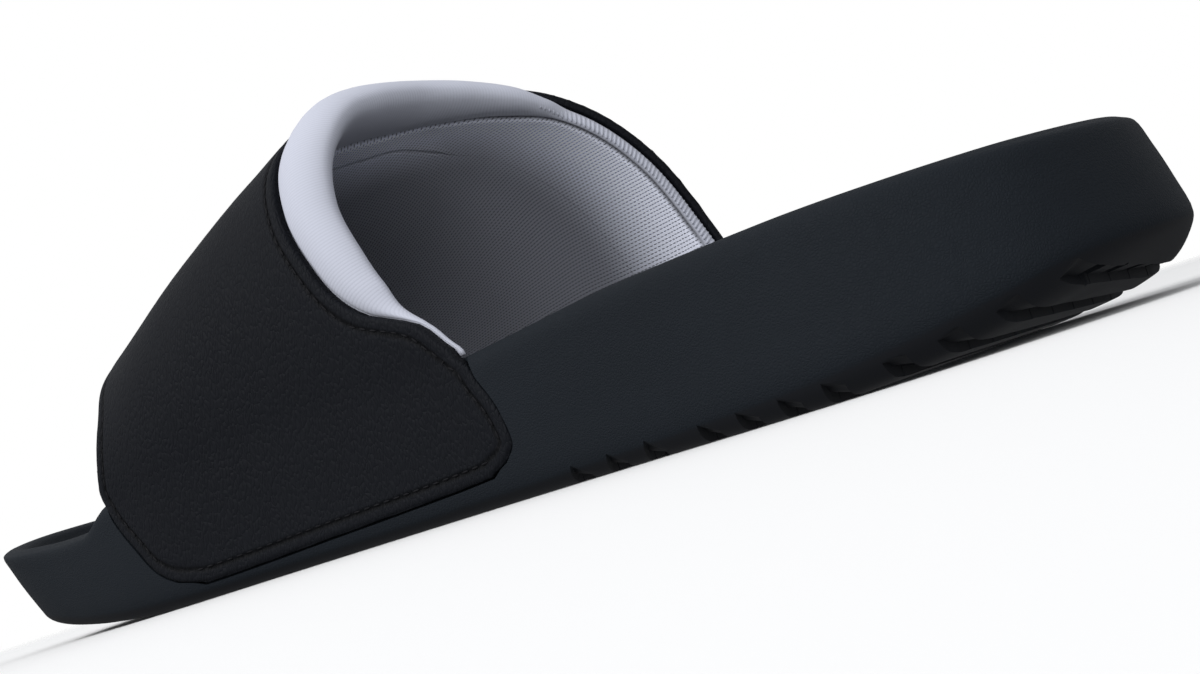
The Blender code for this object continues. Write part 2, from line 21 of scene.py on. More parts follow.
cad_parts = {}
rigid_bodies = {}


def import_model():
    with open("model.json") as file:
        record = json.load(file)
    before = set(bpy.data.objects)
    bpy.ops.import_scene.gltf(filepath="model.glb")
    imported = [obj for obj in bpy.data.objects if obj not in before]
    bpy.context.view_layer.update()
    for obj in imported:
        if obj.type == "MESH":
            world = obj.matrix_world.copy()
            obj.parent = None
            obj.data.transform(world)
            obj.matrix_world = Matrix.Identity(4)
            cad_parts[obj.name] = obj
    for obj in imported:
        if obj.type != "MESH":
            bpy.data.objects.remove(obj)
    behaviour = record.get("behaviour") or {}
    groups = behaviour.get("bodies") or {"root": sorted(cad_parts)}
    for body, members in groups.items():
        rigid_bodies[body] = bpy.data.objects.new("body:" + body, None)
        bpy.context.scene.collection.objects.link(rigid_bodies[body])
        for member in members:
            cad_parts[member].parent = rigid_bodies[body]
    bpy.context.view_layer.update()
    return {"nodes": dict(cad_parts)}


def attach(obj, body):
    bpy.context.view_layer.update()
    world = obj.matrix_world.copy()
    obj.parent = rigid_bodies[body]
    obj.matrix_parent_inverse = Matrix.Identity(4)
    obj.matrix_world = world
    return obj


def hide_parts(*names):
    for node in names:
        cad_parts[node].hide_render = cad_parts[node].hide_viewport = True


logging.basicConfig(level=logging.INFO, format="%(message)s")
LOG = logging.getLogger("sandal")

MM = 0.001
BODY = "root"
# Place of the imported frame's origin in the tables: x, y
ORIGIN_SHIFT = (0.665, 0.443)
# Wall of the strap's shell, gap round it, and that gap at a cut edge
SHELL_WALL = 2.0
GAP = 0.3
EDGE_GAP = GAP + 0.05
# Turn past which an edge of a carved piece stays sharp
SHARP_TURN = math.radians(32)

# Sole outline seen from above, from the toe along the inner side: x, y
OUTLINE = (
    (-10.0, 145.0), (-34.5, 136.0), (-48.6, 119.0), (-52.5, 90.0), (-51.0, 55.0),
    (-41.9, 20.0), (-36.2, -20.0), (-36.2, -60.0), (-38.8, -92.0), (-36.0, -118.0),
    (-22.5, -138.5), (0.0, -145.0), (22.0, -137.0), (34.5, -112.0), (38.2, -85.0),
    (39.8, -48.0), (45.2, -12.0), (50.2, 20.0), (53.2, 55.0), (51.0, 90.0),
    (38.5, 121.0), (14.0, 140.5),
)
# Heights along the sole: y, tread, shoulder, rim, footbed
HEIGHTS = (
    (-145.0, 8.0, 10.8, 27.6, 21.4),
    (-132.0, 3.8, 8.4, 28.0, 20.2),
    (-118.0, 1.2, 6.2, 28.4, 19.6),
    (-98.0, 0.0, 4.6, 28.8, 19.4),
    (-70.0, 0.0, 3.6, 28.8, 20.0),
    (-40.0, 0.0, 3.0, 27.5, 20.2),
    (0.0, 0.0, 2.6, 25.0, 18.2),
    (40.0, 0.0, 2.6, 22.4, 15.6),
    (62.0, 0.0, 3.2, 21.2, 14.8),
    (84.0, 1.1, 4.6, 20.8, 14.8),
    (110.0, 4.0, 8.0, 22.4, 16.4),
    (130.0, 7.8, 10.6, 24.4, 18.8),
    (145.0, 11.0, 12.4, 25.8, 21.0),
)
# How far the wall stands inside the outline: y, at the shoulder, at the rim
WALL_INSETS = (
    (-145.0, 0.0, 4.2),
    (-110.0, 0.4, 4.8),
    (-60.0, 0.3, 2.4),
    (0.0, 0.0, 2.0),
    (60.0, 0.6, 1.8),
    (100.0, 2.2, 1.0),
    (128.0, 5.6, -0.6),
    (145.0, 8.0, -1.4),
)
# Rings under the tread: inset, share of the way from tread to shoulder
TREAD_RINGS = ((14.0, 0.0), (7.0, 0.0), (3.2, 0.12), (1.0, 0.48), (0.0, 1.0))
# Rings of the wall: share of the way from shoulder to rim, bulge outwards
WALL_RINGS = ((0.35, 0.5), (0.68, 0.5), (0.92, 0.15))
# Rings of the lip: inset from the rim line, drop below the rim
LIP_RINGS = ((0.9, 0.55), (2.6, 0.0), (4.8, 0.6), (6.2, 2.4))
# Rings of the footbed's edge: inset from the rim line, rise above the footbed
FOOTBED_RINGS = ((7.4, 2.2), (10.0, 0.7), (15.0, 0.1))
# Support under the arch: centre x, centre y, reach x, reach y, rise
ARCH_RISE = (-24.0, -30.0, 16.0, 42.0, 3.0)
# Rise of the rim at the strap's front foot: start, full, hold, end, rise
STRAP_FOOT_RISE = (-28.0, 30.0, 68.5, 80.0, 4.0)
# Strap sections across the foot: y, crest x, crest height, inner fullness, outer fullness
SECTIONS = (
    (-60.0, -6.0, 84.0, 2.4, 2.2),
    (-20.0, -7.0, 85.5, 2.4, 2.2),
    (5.0, -7.5, 85.0, 2.4, 2.15),
    (25.0, -7.0, 80.0, 2.4, 2.1),
    (45.0, -6.0, 72.8, 2.3, 2.1),
    (65.0, -4.0, 64.6, 2.14, 2.1),
    (80.0, -3.0, 58.4, 2.06, 2.1),
    (95.0, -2.0, 52.5, 2.04, 2.1),
    (115.0, -1.0, 45.0, 2.04, 2.1),
)
# Strap edges: station across the strap, rear y, front y
# Stations below 0 and above 1 lie on the sole's wall, 0 and 1 at its rim
STRAP_EDGES = (
    (-1.000, -30.0, 44.0), (-0.930, -34.0, 51.0), (-0.800, -36.8, 56.5), (-0.550, -35.6, 61.0),
    (-0.250, -32.0, 65.5), (0.000, -28.2, 67.8), (0.010, -25.8, 67.9), (0.030, -21.2, 67.6),
    (0.041, -16.3, 67.3), (0.055, -9.4, 67.0), (0.083, -3.0, 66.6), (0.120, 1.4, 66.3),
    (0.200, 7.6, 69.6), (0.320, 11.6, 75.6), (0.440, 12.0, 79.0), (0.540, 7.5, 79.8),
    (0.600, -1.0, 79.4), (0.650, -9.5, 79.0), (0.693, -15.4, 78.4), (0.724, -18.6, 77.6),
    (0.769, -22.6, 76.8), (0.850, -28.0, 75.0), (0.920, -31.5, 73.6), (1.000, -36.0, 70.5),
    (1.250, -39.5, 67.5), (1.550, -42.0, 63.0), (1.800, -42.5, 58.0), (1.930, -39.5, 52.0),
    (2.000, -34.5, 45.0),
)
# Bottom edge of the strap on the wall: y, height at the inner side, height at the outer side
STRAP_BOTTOM = (
    (-45.0, 6.0, 6.0),
    (-20.0, 5.0, 5.0),
    (10.0, 4.2, 4.2),
    (45.0, 3.4, 3.4),
    (75.0, 5.0, 5.0),
)
# Padding of the lining: station, rear roll length, rear roll swell, front roll length, wall, tuck
# Tuck is how far inside the shell's rear edge the roll starts
ROLLS = (
    (0.000, 0.4, 0.0, 0.9, 0.9, 0.0),
    (0.028, 0.5, 0.0, 1.1, 1.1, 0.0),
    (0.041, 2.4, 0.1, 1.4, 2.1, 0.0),
    (0.055, 6.4, 0.3, 1.7, 3.0, 0.0),
    (0.083, 10.2, 0.6, 2.1, 3.5, 0.0),
    (0.130, 11.5, 0.85, 2.4, 3.7, 0.0),
    (0.200, 12.2, 1.0, 2.6, 3.7, 0.0),
    (0.340, 14.3, 1.1, 2.6, 3.7, 0.0),
    (0.450, 14.4, 1.15, 2.6, 3.7, 0.0),
    (0.540, 12.6, 1.0, 2.6, 3.7, 0.0),
    (0.600, 9.0, 0.65, 2.6, 3.6, 0.0),
    (0.650, 5.3, 0.3, 2.5, 3.4, 0.0),
    (0.693, 2.6, 0.0, 2.4, 3.0, 0.5),
    (0.730, 1.0, 0.0, 2.2, 2.6, 1.4),
    (0.820, 0.9, 0.0, 1.8, 2.3, 1.4),
    (1.000, 0.9, 0.0, 1.0, 2.0, 1.4),
)
# Hooked channels of the tread seen from above: x, y
HOOK_CHANNELS = (
    ((-60.0, 2.0), (-48.0, 9.0), (-34.0, 15.0), (-24.0, 8.0), (-22.0, -2.0), (-26.0, -15.0), (-36.0, -28.0)),
    (
        (-62.0, 14.0), (-49.0, 23.0), (-30.0, 33.0), (-20.0, 23.0), (-15.0, 8.0), (-15.0, -4.0),
        (-16.0, -20.0), (-24.0, -32.0),
    ),
    ((-64.0, 26.0), (-50.0, 37.0), (-28.0, 49.0), (-18.0, 38.0), (-13.0, 23.0)),
    ((-66.0, 42.0), (-52.0, 53.0), (-29.0, 65.0), (-18.0, 57.0), (-10.0, 40.0)),
    ((-66.0, 58.0), (-52.0, 69.0), (-29.0, 82.0), (-17.0, 74.0), (-8.0, 56.0)),
    ((-66.0, 75.0), (-52.0, 86.0), (-28.0, 99.0), (-14.0, 90.0), (0.0, 62.0)),
    ((-64.0, 92.0), (-50.0, 104.0), (-26.0, 115.0), (-11.0, 106.0), (7.0, 75.0)),
    ((-58.0, 110.0), (-43.0, 120.0), (-22.0, 130.0), (-6.0, 122.0), (14.0, 92.0)),
)
# Rows of straight heel channels: first y at the near end, count, pitch, near x, far x, rise in y
HEEL_CHANNELS = (
    (-146.0, 4, 8.6, -52.0, 54.0, 22.0),
    (-112.4, 4, 8.4, -54.0, -20.0, 12.0),
    (-79.6, 3, 8.8, -54.0, -18.0, 23.0),
    (-101.0, 4, 8.6, 17.0, 56.0, 14.0),
)
# Long channels along the outer side: distance inside the outline, first y, last y
SIDE_CHANNELS = ((7.5, -8.0, 66.0), (14.0, -62.0, 84.0), (22.0, -56.0, 30.0))
# Plain strokes across the tread's middle: first y at the near end, count, pitch, near x, far x, rise in y
MIDDLE_STROKES = ((-94.0, 11, 12.0, -7.0, 12.0, -6.7), (38.0, 3, 12.0, 9.0, 27.0, -6.3))


def smooth_step(value: np.ndarray, low: float, high: float) -> np.ndarray:
    """Smooth step from 0 at low to 1 at high.

    Args:
        value: Where the step is read.
        low: Value with a result of 0.
        high: Value with a result of 1.

    Returns:
        The step, as an array.
    """
    share = np.clip((np.asarray(value, float) - low) / (high - low), 0.0, 1.0)
    return share * share * (3 - 2 * share)


def unit(vectors: np.ndarray) -> np.ndarray:
    """The same vectors with a length of 1."""
    return vectors / np.linalg.norm(vectors, axis=-1, keepdims=True)


def distances_along(run: np.ndarray) -> np.ndarray:
    """Distance of each point of a run from its first one, along the run."""
    return np.r_[0, np.cumsum(np.linalg.norm(np.diff(run, axis=0), axis=1))]


class Column:
    """Smooth monotone function through one column of a table, level past its ends."""

    def __init__(self, rows: tuple, column: int) -> None:
        """Reads the column.

        Args:
            rows: Rows of the table, the key first.
            column: Which number of each row the function returns.
        """
        self.keys = np.array([row[0] for row in rows])
        self.values = np.array([row[column] for row in rows])
        self.steps = np.diff(self.keys)
        rises = np.diff(self.values) / self.steps
        self.slopes = np.zeros(len(self.keys))
        for i in range(1, len(self.keys) - 1):
            if rises[i - 1] * rises[i] > 0:
                before, after = self.steps[i - 1], self.steps[i]
                first, second = 2 * after + before, after + 2 * before
                self.slopes[i] = (first + second) / (first / rises[i - 1] + second / rises[i])

    def __call__(self, key: np.ndarray) -> np.ndarray:
        """Value at each key.

        Args:
            key: Number or array of numbers in the first column's units.

        Returns:
            The values, as an array of the same shape.
        """
        key = np.clip(np.asarray(key, float), self.keys[0], self.keys[-1])
        i = np.clip(np.searchsorted(self.keys, key, side="right") - 1, 0, len(self.steps) - 1)
        step = self.steps[i]
        t = (key - self.keys[i]) / step
        left = (1 + 2 * t) * (1 - t) ** 2 * self.values[i] + t * (1 - t) ** 2 * step * self.slopes[i]
        right = t * t * (3 - 2 * t) * self.values[i + 1] + t * t * (t - 1) * step * self.slopes[i + 1]
        return left + right


def columns_of(rows: tuple) -> list[Column]:
    """One function for each column of a table past its key."""
    return [Column(rows, column) for column in range(1, len(rows[0]))]


def spline_through(points: np.ndarray, closed: bool, steps: int) -> np.ndarray:
    """Smooth run through given points, its knots spaced by the root of their distance.

    Args:
        points: Points of one run, or of many runs side by side, along the first axis.
        closed: Whether the run comes back to its first point.
        steps: New points for each stretch between two given ones.

    Returns:
        The run's points along the first axis. A closed run doesn't repeat its first point.
    """

    def between(
        at: np.ndarray, low: np.ndarray, high: np.ndarray, first: np.ndarray, second: np.ndarray
    ) -> np.ndarray:
        """Point on the line from one point at a low knot to another at a high one."""
        return ((high - at) * first + (at - low) * second) / (high - low)

    given = np.asarray(points, float)
    count = len(given)
    stretches = count if closed else count - 1
    run = []
    for i in range(stretches):
        if closed:
            p = [given[(i + k) % count] for k in (-1, 0, 1, 2)]
        else:
            p = [given[min(max(i + k, 0), count - 1)] for k in (-1, 0, 1, 2)]
            if i == 0:
                p[0] = 2 * p[1] - p[2]
            if i == count - 2:
                p[3] = 2 * p[2] - p[1]
        gaps = [np.sqrt(np.linalg.norm(p[k + 1] - p[k], axis=-1, keepdims=True)) + 1e-6 for k in range(3)]
        knots = [np.zeros_like(gaps[0]), gaps[0], gaps[0] + gaps[1], gaps[0] + gaps[1] + gaps[2]]
        for share in np.linspace(0, 1, steps, endpoint=False):
            t = knots[1] + (knots[2] - knots[1]) * share
            a = [between(t, knots[k], knots[k + 1], p[k], p[k + 1]) for k in range(3)]
            b = [between(t, knots[k], knots[k + 2], a[k], a[k + 1]) for k in range(2)]
            run.append(between(t, knots[1], knots[2], b[0], b[1]))
    if not closed:
        run.append(given[-1])
    return np.array(run)


def evenly(points: np.ndarray, count: int, closed: bool) -> np.ndarray:
    """Points evenly spaced along a run.

    Args:
        points: The run.
        count: How many points to return.
        closed: Whether the run comes back to its first point.

    Returns:
        The spaced points.
    """
    run = np.vstack([points, points[:1]]) if closed else points
    far = distances_along(run)
    even = np.linspace(0, far[-1], count, endpoint=not closed)
    return np.stack([np.interp(even, far, run[:, k]) for k in range(run.shape[1])], axis=1)


class SandalForm:
    """The sandal's own shape: what its pieces share, in millimetres."""

    lip_gap: float = 0.45
    shell_proud: float = 0.8
    fine_points: int = 1440
    tip_skip: int = 16
    toe_skip: int = 48

    def __init__(self) -> None:
        """Reads the tables."""
        self.tread_height, self.shoulder_height, *upper_heights = columns_of(HEIGHTS)
        self.plain_rim_height, self.plain_footbed_height = upper_heights
        self.shoulder_inset, self.rim_inset = columns_of(WALL_INSETS)
        self.crest_x, self.crest_height, self.inner_fullness, self.outer_fullness = columns_of(SECTIONS)
        self.rear_edge, self.front_edge = columns_of(STRAP_EDGES)
        self.inner_bottom, self.outer_bottom = columns_of(STRAP_BOTTOM)
        self.roll_length, self.roll_swell, self.front_roll_length, *last_columns = columns_of(ROLLS)
        self.lining_wall, self.roll_tuck = last_columns
        self.fine_line = evenly(spline_through(np.array(OUTLINE), True, 48), self.fine_points, True)
        heel_tip = int(np.argmin(self.fine_line[:, 1]))
        self.inner_run = self.fine_line[self.tip_skip:heel_tip - self.tip_skip][::-1]
        self.outer_run = self.fine_line[heel_tip + self.tip_skip:-self.toe_skip]

    def rim_height(self, y: np.ndarray) -> np.ndarray:
        """Height of the rim with its rise at the strap's front foot.

        Args:
            y: Place along the foot.

        Returns:
            The height above the floor.
        """
        start, full, hold, end, rise = STRAP_FOOT_RISE
        return self.plain_rim_height(y) + rise * smooth_step(y, start, full) * (1 - smooth_step(y, hold, end))

    def footbed_height(self, x: np.ndarray, y: np.ndarray) -> np.ndarray:
        """Height of the footbed with the support under the arch of the foot.

        Args:
            x: Place across the foot.
            y: Place along the foot.

        Returns:
            The height above the floor.
        """
        centre_x, centre_y, reach_x, reach_y, rise = ARCH_RISE
        far = ((x - centre_x) / reach_x) ** 2 + ((y - centre_y) / reach_y) ** 2
        return self.plain_footbed_height(y) + rise * np.exp(-far)

    def outline_x(self, side: np.ndarray, y: np.ndarray) -> np.ndarray:
        """Outline of the sole.

        Args:
            side: -1 for the inner side and 1 for the outer side.
            y: Place along the foot.

        Returns:
            Place of the outline across the foot.
        """
        inner = np.interp(y, self.inner_run[:, 1], self.inner_run[:, 0])
        outer = np.interp(y, self.outer_run[:, 1], self.outer_run[:, 0])
        return np.where(side < 0, inner, outer)

    def wall_x(self, side: np.ndarray, y: np.ndarray, z: np.ndarray) -> np.ndarray:
        """Outer face of the sole's wall.

        Args:
            side: -1 for the inner side and 1 for the outer side.
            y: Place along the foot.
            z: Height above the floor.

        Returns:
            Place of the wall across the foot.
        """
        low = self.shoulder_height(y)
        share = np.clip((z - low) / (self.rim_height(y) - low), 0.0, 1.0)
        inset = self.shoulder_inset(y) + (self.rim_inset(y) - self.shoulder_inset(y)) * share
        return self.outline_x(side, y) - side * inset

    def strap_point(self, station: np.ndarray, y: np.ndarray) -> np.ndarray:
        """Outer face of the strap.

        Args:
            station: Place across the strap, 0 to 1 over the foot and past that on the walls.
            y: Place along the foot.

        Returns:
            The points, x, y and z along the last axis.
        """
        station, y = np.broadcast_arrays(np.asarray(station, float), np.asarray(y, float))
        side = np.where(station < 0.5, -1.0, 1.0)
        base = self.rim_height(y) + self.lip_gap
        foot = self.wall_x(side, y, base) + side * self.shell_proud
        down = np.where(station < 0, -station, station - 1)
        bottom = np.where(side < 0, self.inner_bottom(y), self.outer_bottom(y))
        low_z = base + (bottom - base) * np.clip(down, 0.0, 1.0)
        low_x = self.wall_x(side, y, low_z) + side * self.shell_proud
        angle = math.pi * np.clip(np.where(side < 0, station, 1 - station), 0.0, 0.5)
        fullness = np.where(side < 0, self.inner_fullness(y), self.outer_fullness(y))
        across = np.clip(np.cos(angle), 0.0, 1.0) ** (2 / fullness)
        upward = np.clip(np.sin(angle), 0.0, 1.0) ** (2 / fullness)
        centre = self.crest_x(y)
        high_x = centre + (foot - centre) * across
        high_z = base + (self.crest_height(y) - base) * upward
        on_wall = (station < 0) | (station > 1)
        return np.stack([np.where(on_wall, low_x, high_x), y, np.where(on_wall, low_z, high_z)], axis=-1)

    def strap_inward(self, station: np.ndarray, y: np.ndarray) -> np.ndarray:
        """Unit normals into the foot at points of the strap.

        Args:
            station: Place across the strap.
            y: Place along the foot.

        Returns:
            The normals along the last axis.
        """
        station, y = np.broadcast_arrays(np.asarray(station, float), np.asarray(y, float))
        before = np.clip(station - 0.012, -1.0, 2.0)
        after = np.clip(station + 0.012, -1.0, 2.0)
        low, high = np.minimum(station, -0.1), np.maximum(station, 1.1)
        before = np.where(station <= 0, low - 0.1, np.where(station >= 1, high - 0.1, before))
        after = np.where(station <= 0, low + 0.1, np.where(station >= 1, high + 0.1, after))
        across = self.strap_point(after, y) - self.strap_point(before, y)
        along = self.strap_point(station, y + 1.5) - self.strap_point(station, y - 1.5)
        return unit(np.cross(along, across))

    def edge_slant(self, station: np.ndarray, edge: Column) -> np.ndarray:
        """How much longer a step along y is than the same step square to a slanting edge.

        Args:
            station: Place across the strap.
            edge: The rear or the front edge.

        Returns:
            The factor, 1 where the edge runs straight across.
        """
        low, high = np.clip(station - 0.01, -1.0, 2.0), np.clip(station + 0.01, -1.0, 2.0)
        run = self.strap_point(high, edge(high)) - self.strap_point(low, edge(low))
        square = np.hypot(run[..., 0], run[..., 2]) / np.linalg.norm(run, axis=-1)
        return 1 / np.maximum(square, 0.3)

    def even_stations(self, y: float, count: int) -> np.ndarray:
        """Stations from rim to rim, evenly spaced over the foot.

        Args:
            y: Place along the foot where they are measured.
            count: How many stations to return.

        Returns:
            The stations, from 0 to 1.
        """
        dense = np.linspace(0, 1, 3000)
        far = distances_along(self.strap_point(dense, y))
        return np.interp(np.linspace(0, far[-1], count), far, dense)


def grid_quads(rows: int, columns: int, closed: bool = False, start: int = 0) -> np.ndarray:
    """Quads of a grid of points counted row by row.

    Args:
        rows: Number of rows.
        columns: Points in each row.
        closed: Whether the last column joins the first.
        start: Number of the grid's first point.

    Returns:
        Rows of four point numbers.
    """
    i, j = np.meshgrid(np.arange(rows - 1), np.arange(columns if closed else columns - 1), indexing="ij")
    right = (j + 1) % columns
    near, far = i * columns, (i + 1) * columns
    return np.stack([near + j, near + right, far + right, far + j], axis=-1).reshape(-1, 4) + start


def new_mesh_object(name: str, points: np.ndarray, faces: list, smooth: bool = True) -> bpy.types.Object:
    """Mesh object from points in millimetres, its faces turned outwards.

    Args:
        name: Name of the object.
        points: Its points.
        faces: Its faces, as runs of point numbers.
        smooth: Whether it is shaded smooth.

    Returns:
        The object, linked to the scene.
    """
    mesh = bpy.data.meshes.new(name)
    moved = (np.asarray(points, float).reshape(-1, 3) - (*ORIGIN_SHIFT, 0.0)) * MM
    mesh.from_pydata(moved.tolist(), [], [tuple(int(k) for k in face) for face in faces])
    built = bmesh.new()
    built.from_mesh(mesh)
    bmesh.ops.recalc_face_normals(built, faces=built.faces)
    built.to_mesh(mesh)
    built.free()
    mesh.validate()
    if smooth:
        mesh.shade_smooth()
    obj = bpy.data.objects.new(name, mesh)
    bpy.context.scene.collection.objects.link(obj)
    return obj


def set_attribute(obj: bpy.types.Object, name: str, values: np.ndarray) -> None:
    """Stores one number for each point of a mesh."""
    attribute = obj.data.attributes.new(name, "FLOAT", "POINT")
    attribute.data.foreach_set("value", np.asarray(values, np.float32).ravel())


def points_of(obj: bpy.types.Object) -> np.ndarray:
    """Points of a mesh in the tables' millimetres.

    Args:
        obj: The mesh object.

    Returns:
        The points, one to a row.
    """
    place = np.empty(len(obj.data.vertices) * 3)
    obj.data.vertices.foreach_get("co", place)
    return place.reshape(-1, 3) / MM + (*ORIGIN_SHIFT, 0.0)


def bake_modifiers(obj: bpy.types.Object) -> None:
    """Replaces a mesh with the result of its modifiers.

    Args:
        obj: The mesh object, left without modifiers.
    """
    graph = bpy.context.evaluated_depsgraph_get()
    evaluated = obj.evaluated_get(graph)
    result = bpy.data.meshes.new_from_object(evaluated, preserve_all_data_layers=True, depsgraph=graph)
    obj.modifiers.clear()
    old = obj.data
    name = old.name
    obj.data = result
    bpy.data.meshes.remove(old)
    result.name = name


def carve(obj: bpy.types.Object, cutters: list[bpy.types.Object]) -> None:
    """Cuts closed bodies from a piece and removes them.

    Args:
        obj: The piece.
        cutters: The bodies, cut one after the other.
    """
    for cutter in cutters:
        modifier = obj.modifiers.new(cutter.name, "BOOLEAN")
        modifier.operation = "DIFFERENCE"
        modifier.solver = "MANIFOLD"
        modifier.object = cutter
    bake_modifiers(obj)
    for cutter in cutters:
        mesh = cutter.data
        bpy.data.objects.remove(cutter)
        bpy.data.meshes.remove(mesh)
    obj.data.set_sharp_from_angle(angle=SHARP_TURN)


def dress(obj: bpy.types.Object, material: bpy.types.Material, slot: str, *nodes: str) -> None:
    """Gives a finished piece its material and its body, and hides the CAD nodes that it stands for.

    Args:
        obj: The piece.
        material: Its material.
        slot: Material slot of the record; not used.
        nodes: Names of the CAD nodes that it replaces.
    """
    obj.data.materials.clear()
    obj.data.materials.append(material)
    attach(obj, BODY)
    if nodes:
        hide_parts(*nodes)
    LOG.info("%s: %d points, %d faces", obj.name, len(obj.data.vertices), len(obj.data.polygons))


class Link:
    """Short hand for the nodes and links of one node tree."""

    def __init__(self, tree: bpy.types.NodeTree) -> None:
        """Takes the tree to be filled."""
        self.tree = tree

    def node(self, kind: str, inputs: dict | None = None, **settings: object) -> bpy.types.Node:
        """Adds a node.

        Args:
            kind: Node type.
            inputs: Values or sockets, by input name or number.
            settings: Properties of the node.

        Returns:
            The node.
        """
        made = self.tree.nodes.new(kind)
        for key, value in settings.items():
            setattr(made, key, value)
        for key, value in (inputs or {}).items():
            socket = made.inputs[key]
            if isinstance(value, bpy.types.NodeSocket):
                self.tree.links.new(value, socket)
            else:
                socket.default_value = value
        return made

    def maths(self, operation: str, *terms: object) -> bpy.types.NodeSocket:
        """Result of a Math node.

        Args:
            operation: Its operation.
            terms: Values or sockets, in the order of its inputs.

        Returns:
            The result's socket.
        """
        return self.node("ShaderNodeMath", dict(enumerate(terms)), operation=operation).outputs[0]

    def eased(
        self, value: bpy.types.NodeSocket, low: float, high: float, first: float, last: float
    ) -> bpy.types.NodeSocket:
        """Smooth step from one number to another.

        Args:
            value: Socket of the value that is read.
            low: Value with the first result.
            high: Value with the last result.
            first: Result at the low value.
            last: Result at the high value.

        Returns:
            The result's socket.
        """
        inputs = {"Value": value, "From Min": low, "From Max": high, "To Min": first, "To Max": last}
        return self.node("ShaderNodeMapRange", inputs, interpolation_type="SMOOTHSTEP").outputs[0]


def group_tree(
    name: str, inputs: dict, outputs: dict
) -> tuple[bpy.types.NodeTree, bpy.types.Node, bpy.types.Node]:
    """New shader node group with named sockets.

    Args:
        name: Name of the group.
        inputs: Socket name to a (type, value) pair.
        outputs: Socket name to socket type.

    Returns:
        The tree, its input node and its output node.
    """
    tree = bpy.data.node_groups.new(name, "ShaderNodeTree")
    for key, (kind, value) in inputs.items():
        socket = tree.interface.new_socket(key, in_out="INPUT", socket_type=kind)
        socket.default_value = value
    for key, kind in outputs.items():
        tree.interface.new_socket(key, in_out="OUTPUT", socket_type=kind)
    return tree, tree.nodes.new("NodeGroupInput"), tree.nodes.new("NodeGroupOutput")


class FineGrain:
    """Group for a moulded or pressed grain: soft cells with creases between them and a cloudy variation."""

    def __init__(self) -> None:
        """Builds the group once."""
        inputs = {
            "Vector": ("NodeSocketVector", (0.0, 0.0, 0.0)),
            "Cells per metre": ("NodeSocketFloat", 1000.0),
            "Stretch": ("NodeSocketVector", (1.0, 1.0, 1.0)),
            "Cloud": ("NodeSocketFloat", 0.5),
        }
        outputs = {"Height": "NodeSocketFloat", "Cloud": "NodeSocketFloat"}
        self.tree, source, target = group_tree("fine_grain", inputs, outputs)
        link = Link(self.tree)
        place, scale = source.outputs["Vector"], source.outputs["Cells per metre"]
        both = {0: place, 1: source.outputs["Stretch"]}
        stretched = link.node("ShaderNodeVectorMath", both, operation="MULTIPLY").outputs[0]
        warp = link.node("ShaderNodeTexNoise", {"Vector": stretched, "Scale": 380.0, "Detail": 1.0})
        shift = link.node(
            "ShaderNodeVectorMath", {0: warp.outputs["Color"], "Scale": 0.0011}, operation="SCALE"
        ).outputs[0]
        moved = link.node("ShaderNodeVectorMath", {0: stretched, 1: shift}, operation="ADD").outputs[0]
        cells = link.node(
            "ShaderNodeTexVoronoi",
            {"Vector": moved, "Scale": scale, "Randomness": 1.0},
            feature="DISTANCE_TO_EDGE",
        )
        crease = link.node(
            "ShaderNodeMapRange", {"Value": cells.outputs["Distance"], "From Min": 0.0, "From Max": 0.32}
        ).outputs[0]
        noise = link.node("ShaderNodeTexNoise", {"Vector": moved, "Scale": scale, "Detail": 2.0})
        fine = noise.outputs["Fac"]
        height = link.maths("MULTIPLY_ADD", fine, 0.45, link.maths("POWER", crease, 0.6))
        noise = link.node("ShaderNodeTexNoise", {"Vector": place, "Scale": 42.0, "Detail": 3.0})
        cloud = noise.outputs["Fac"]
        spread = link.maths("MULTIPLY", link.maths("SUBTRACT", cloud, 0.5), source.outputs["Cloud"])
        self.tree.links.new(height, target.inputs["Height"])
        self.tree.links.new(spread, target.inputs["Cloud"])


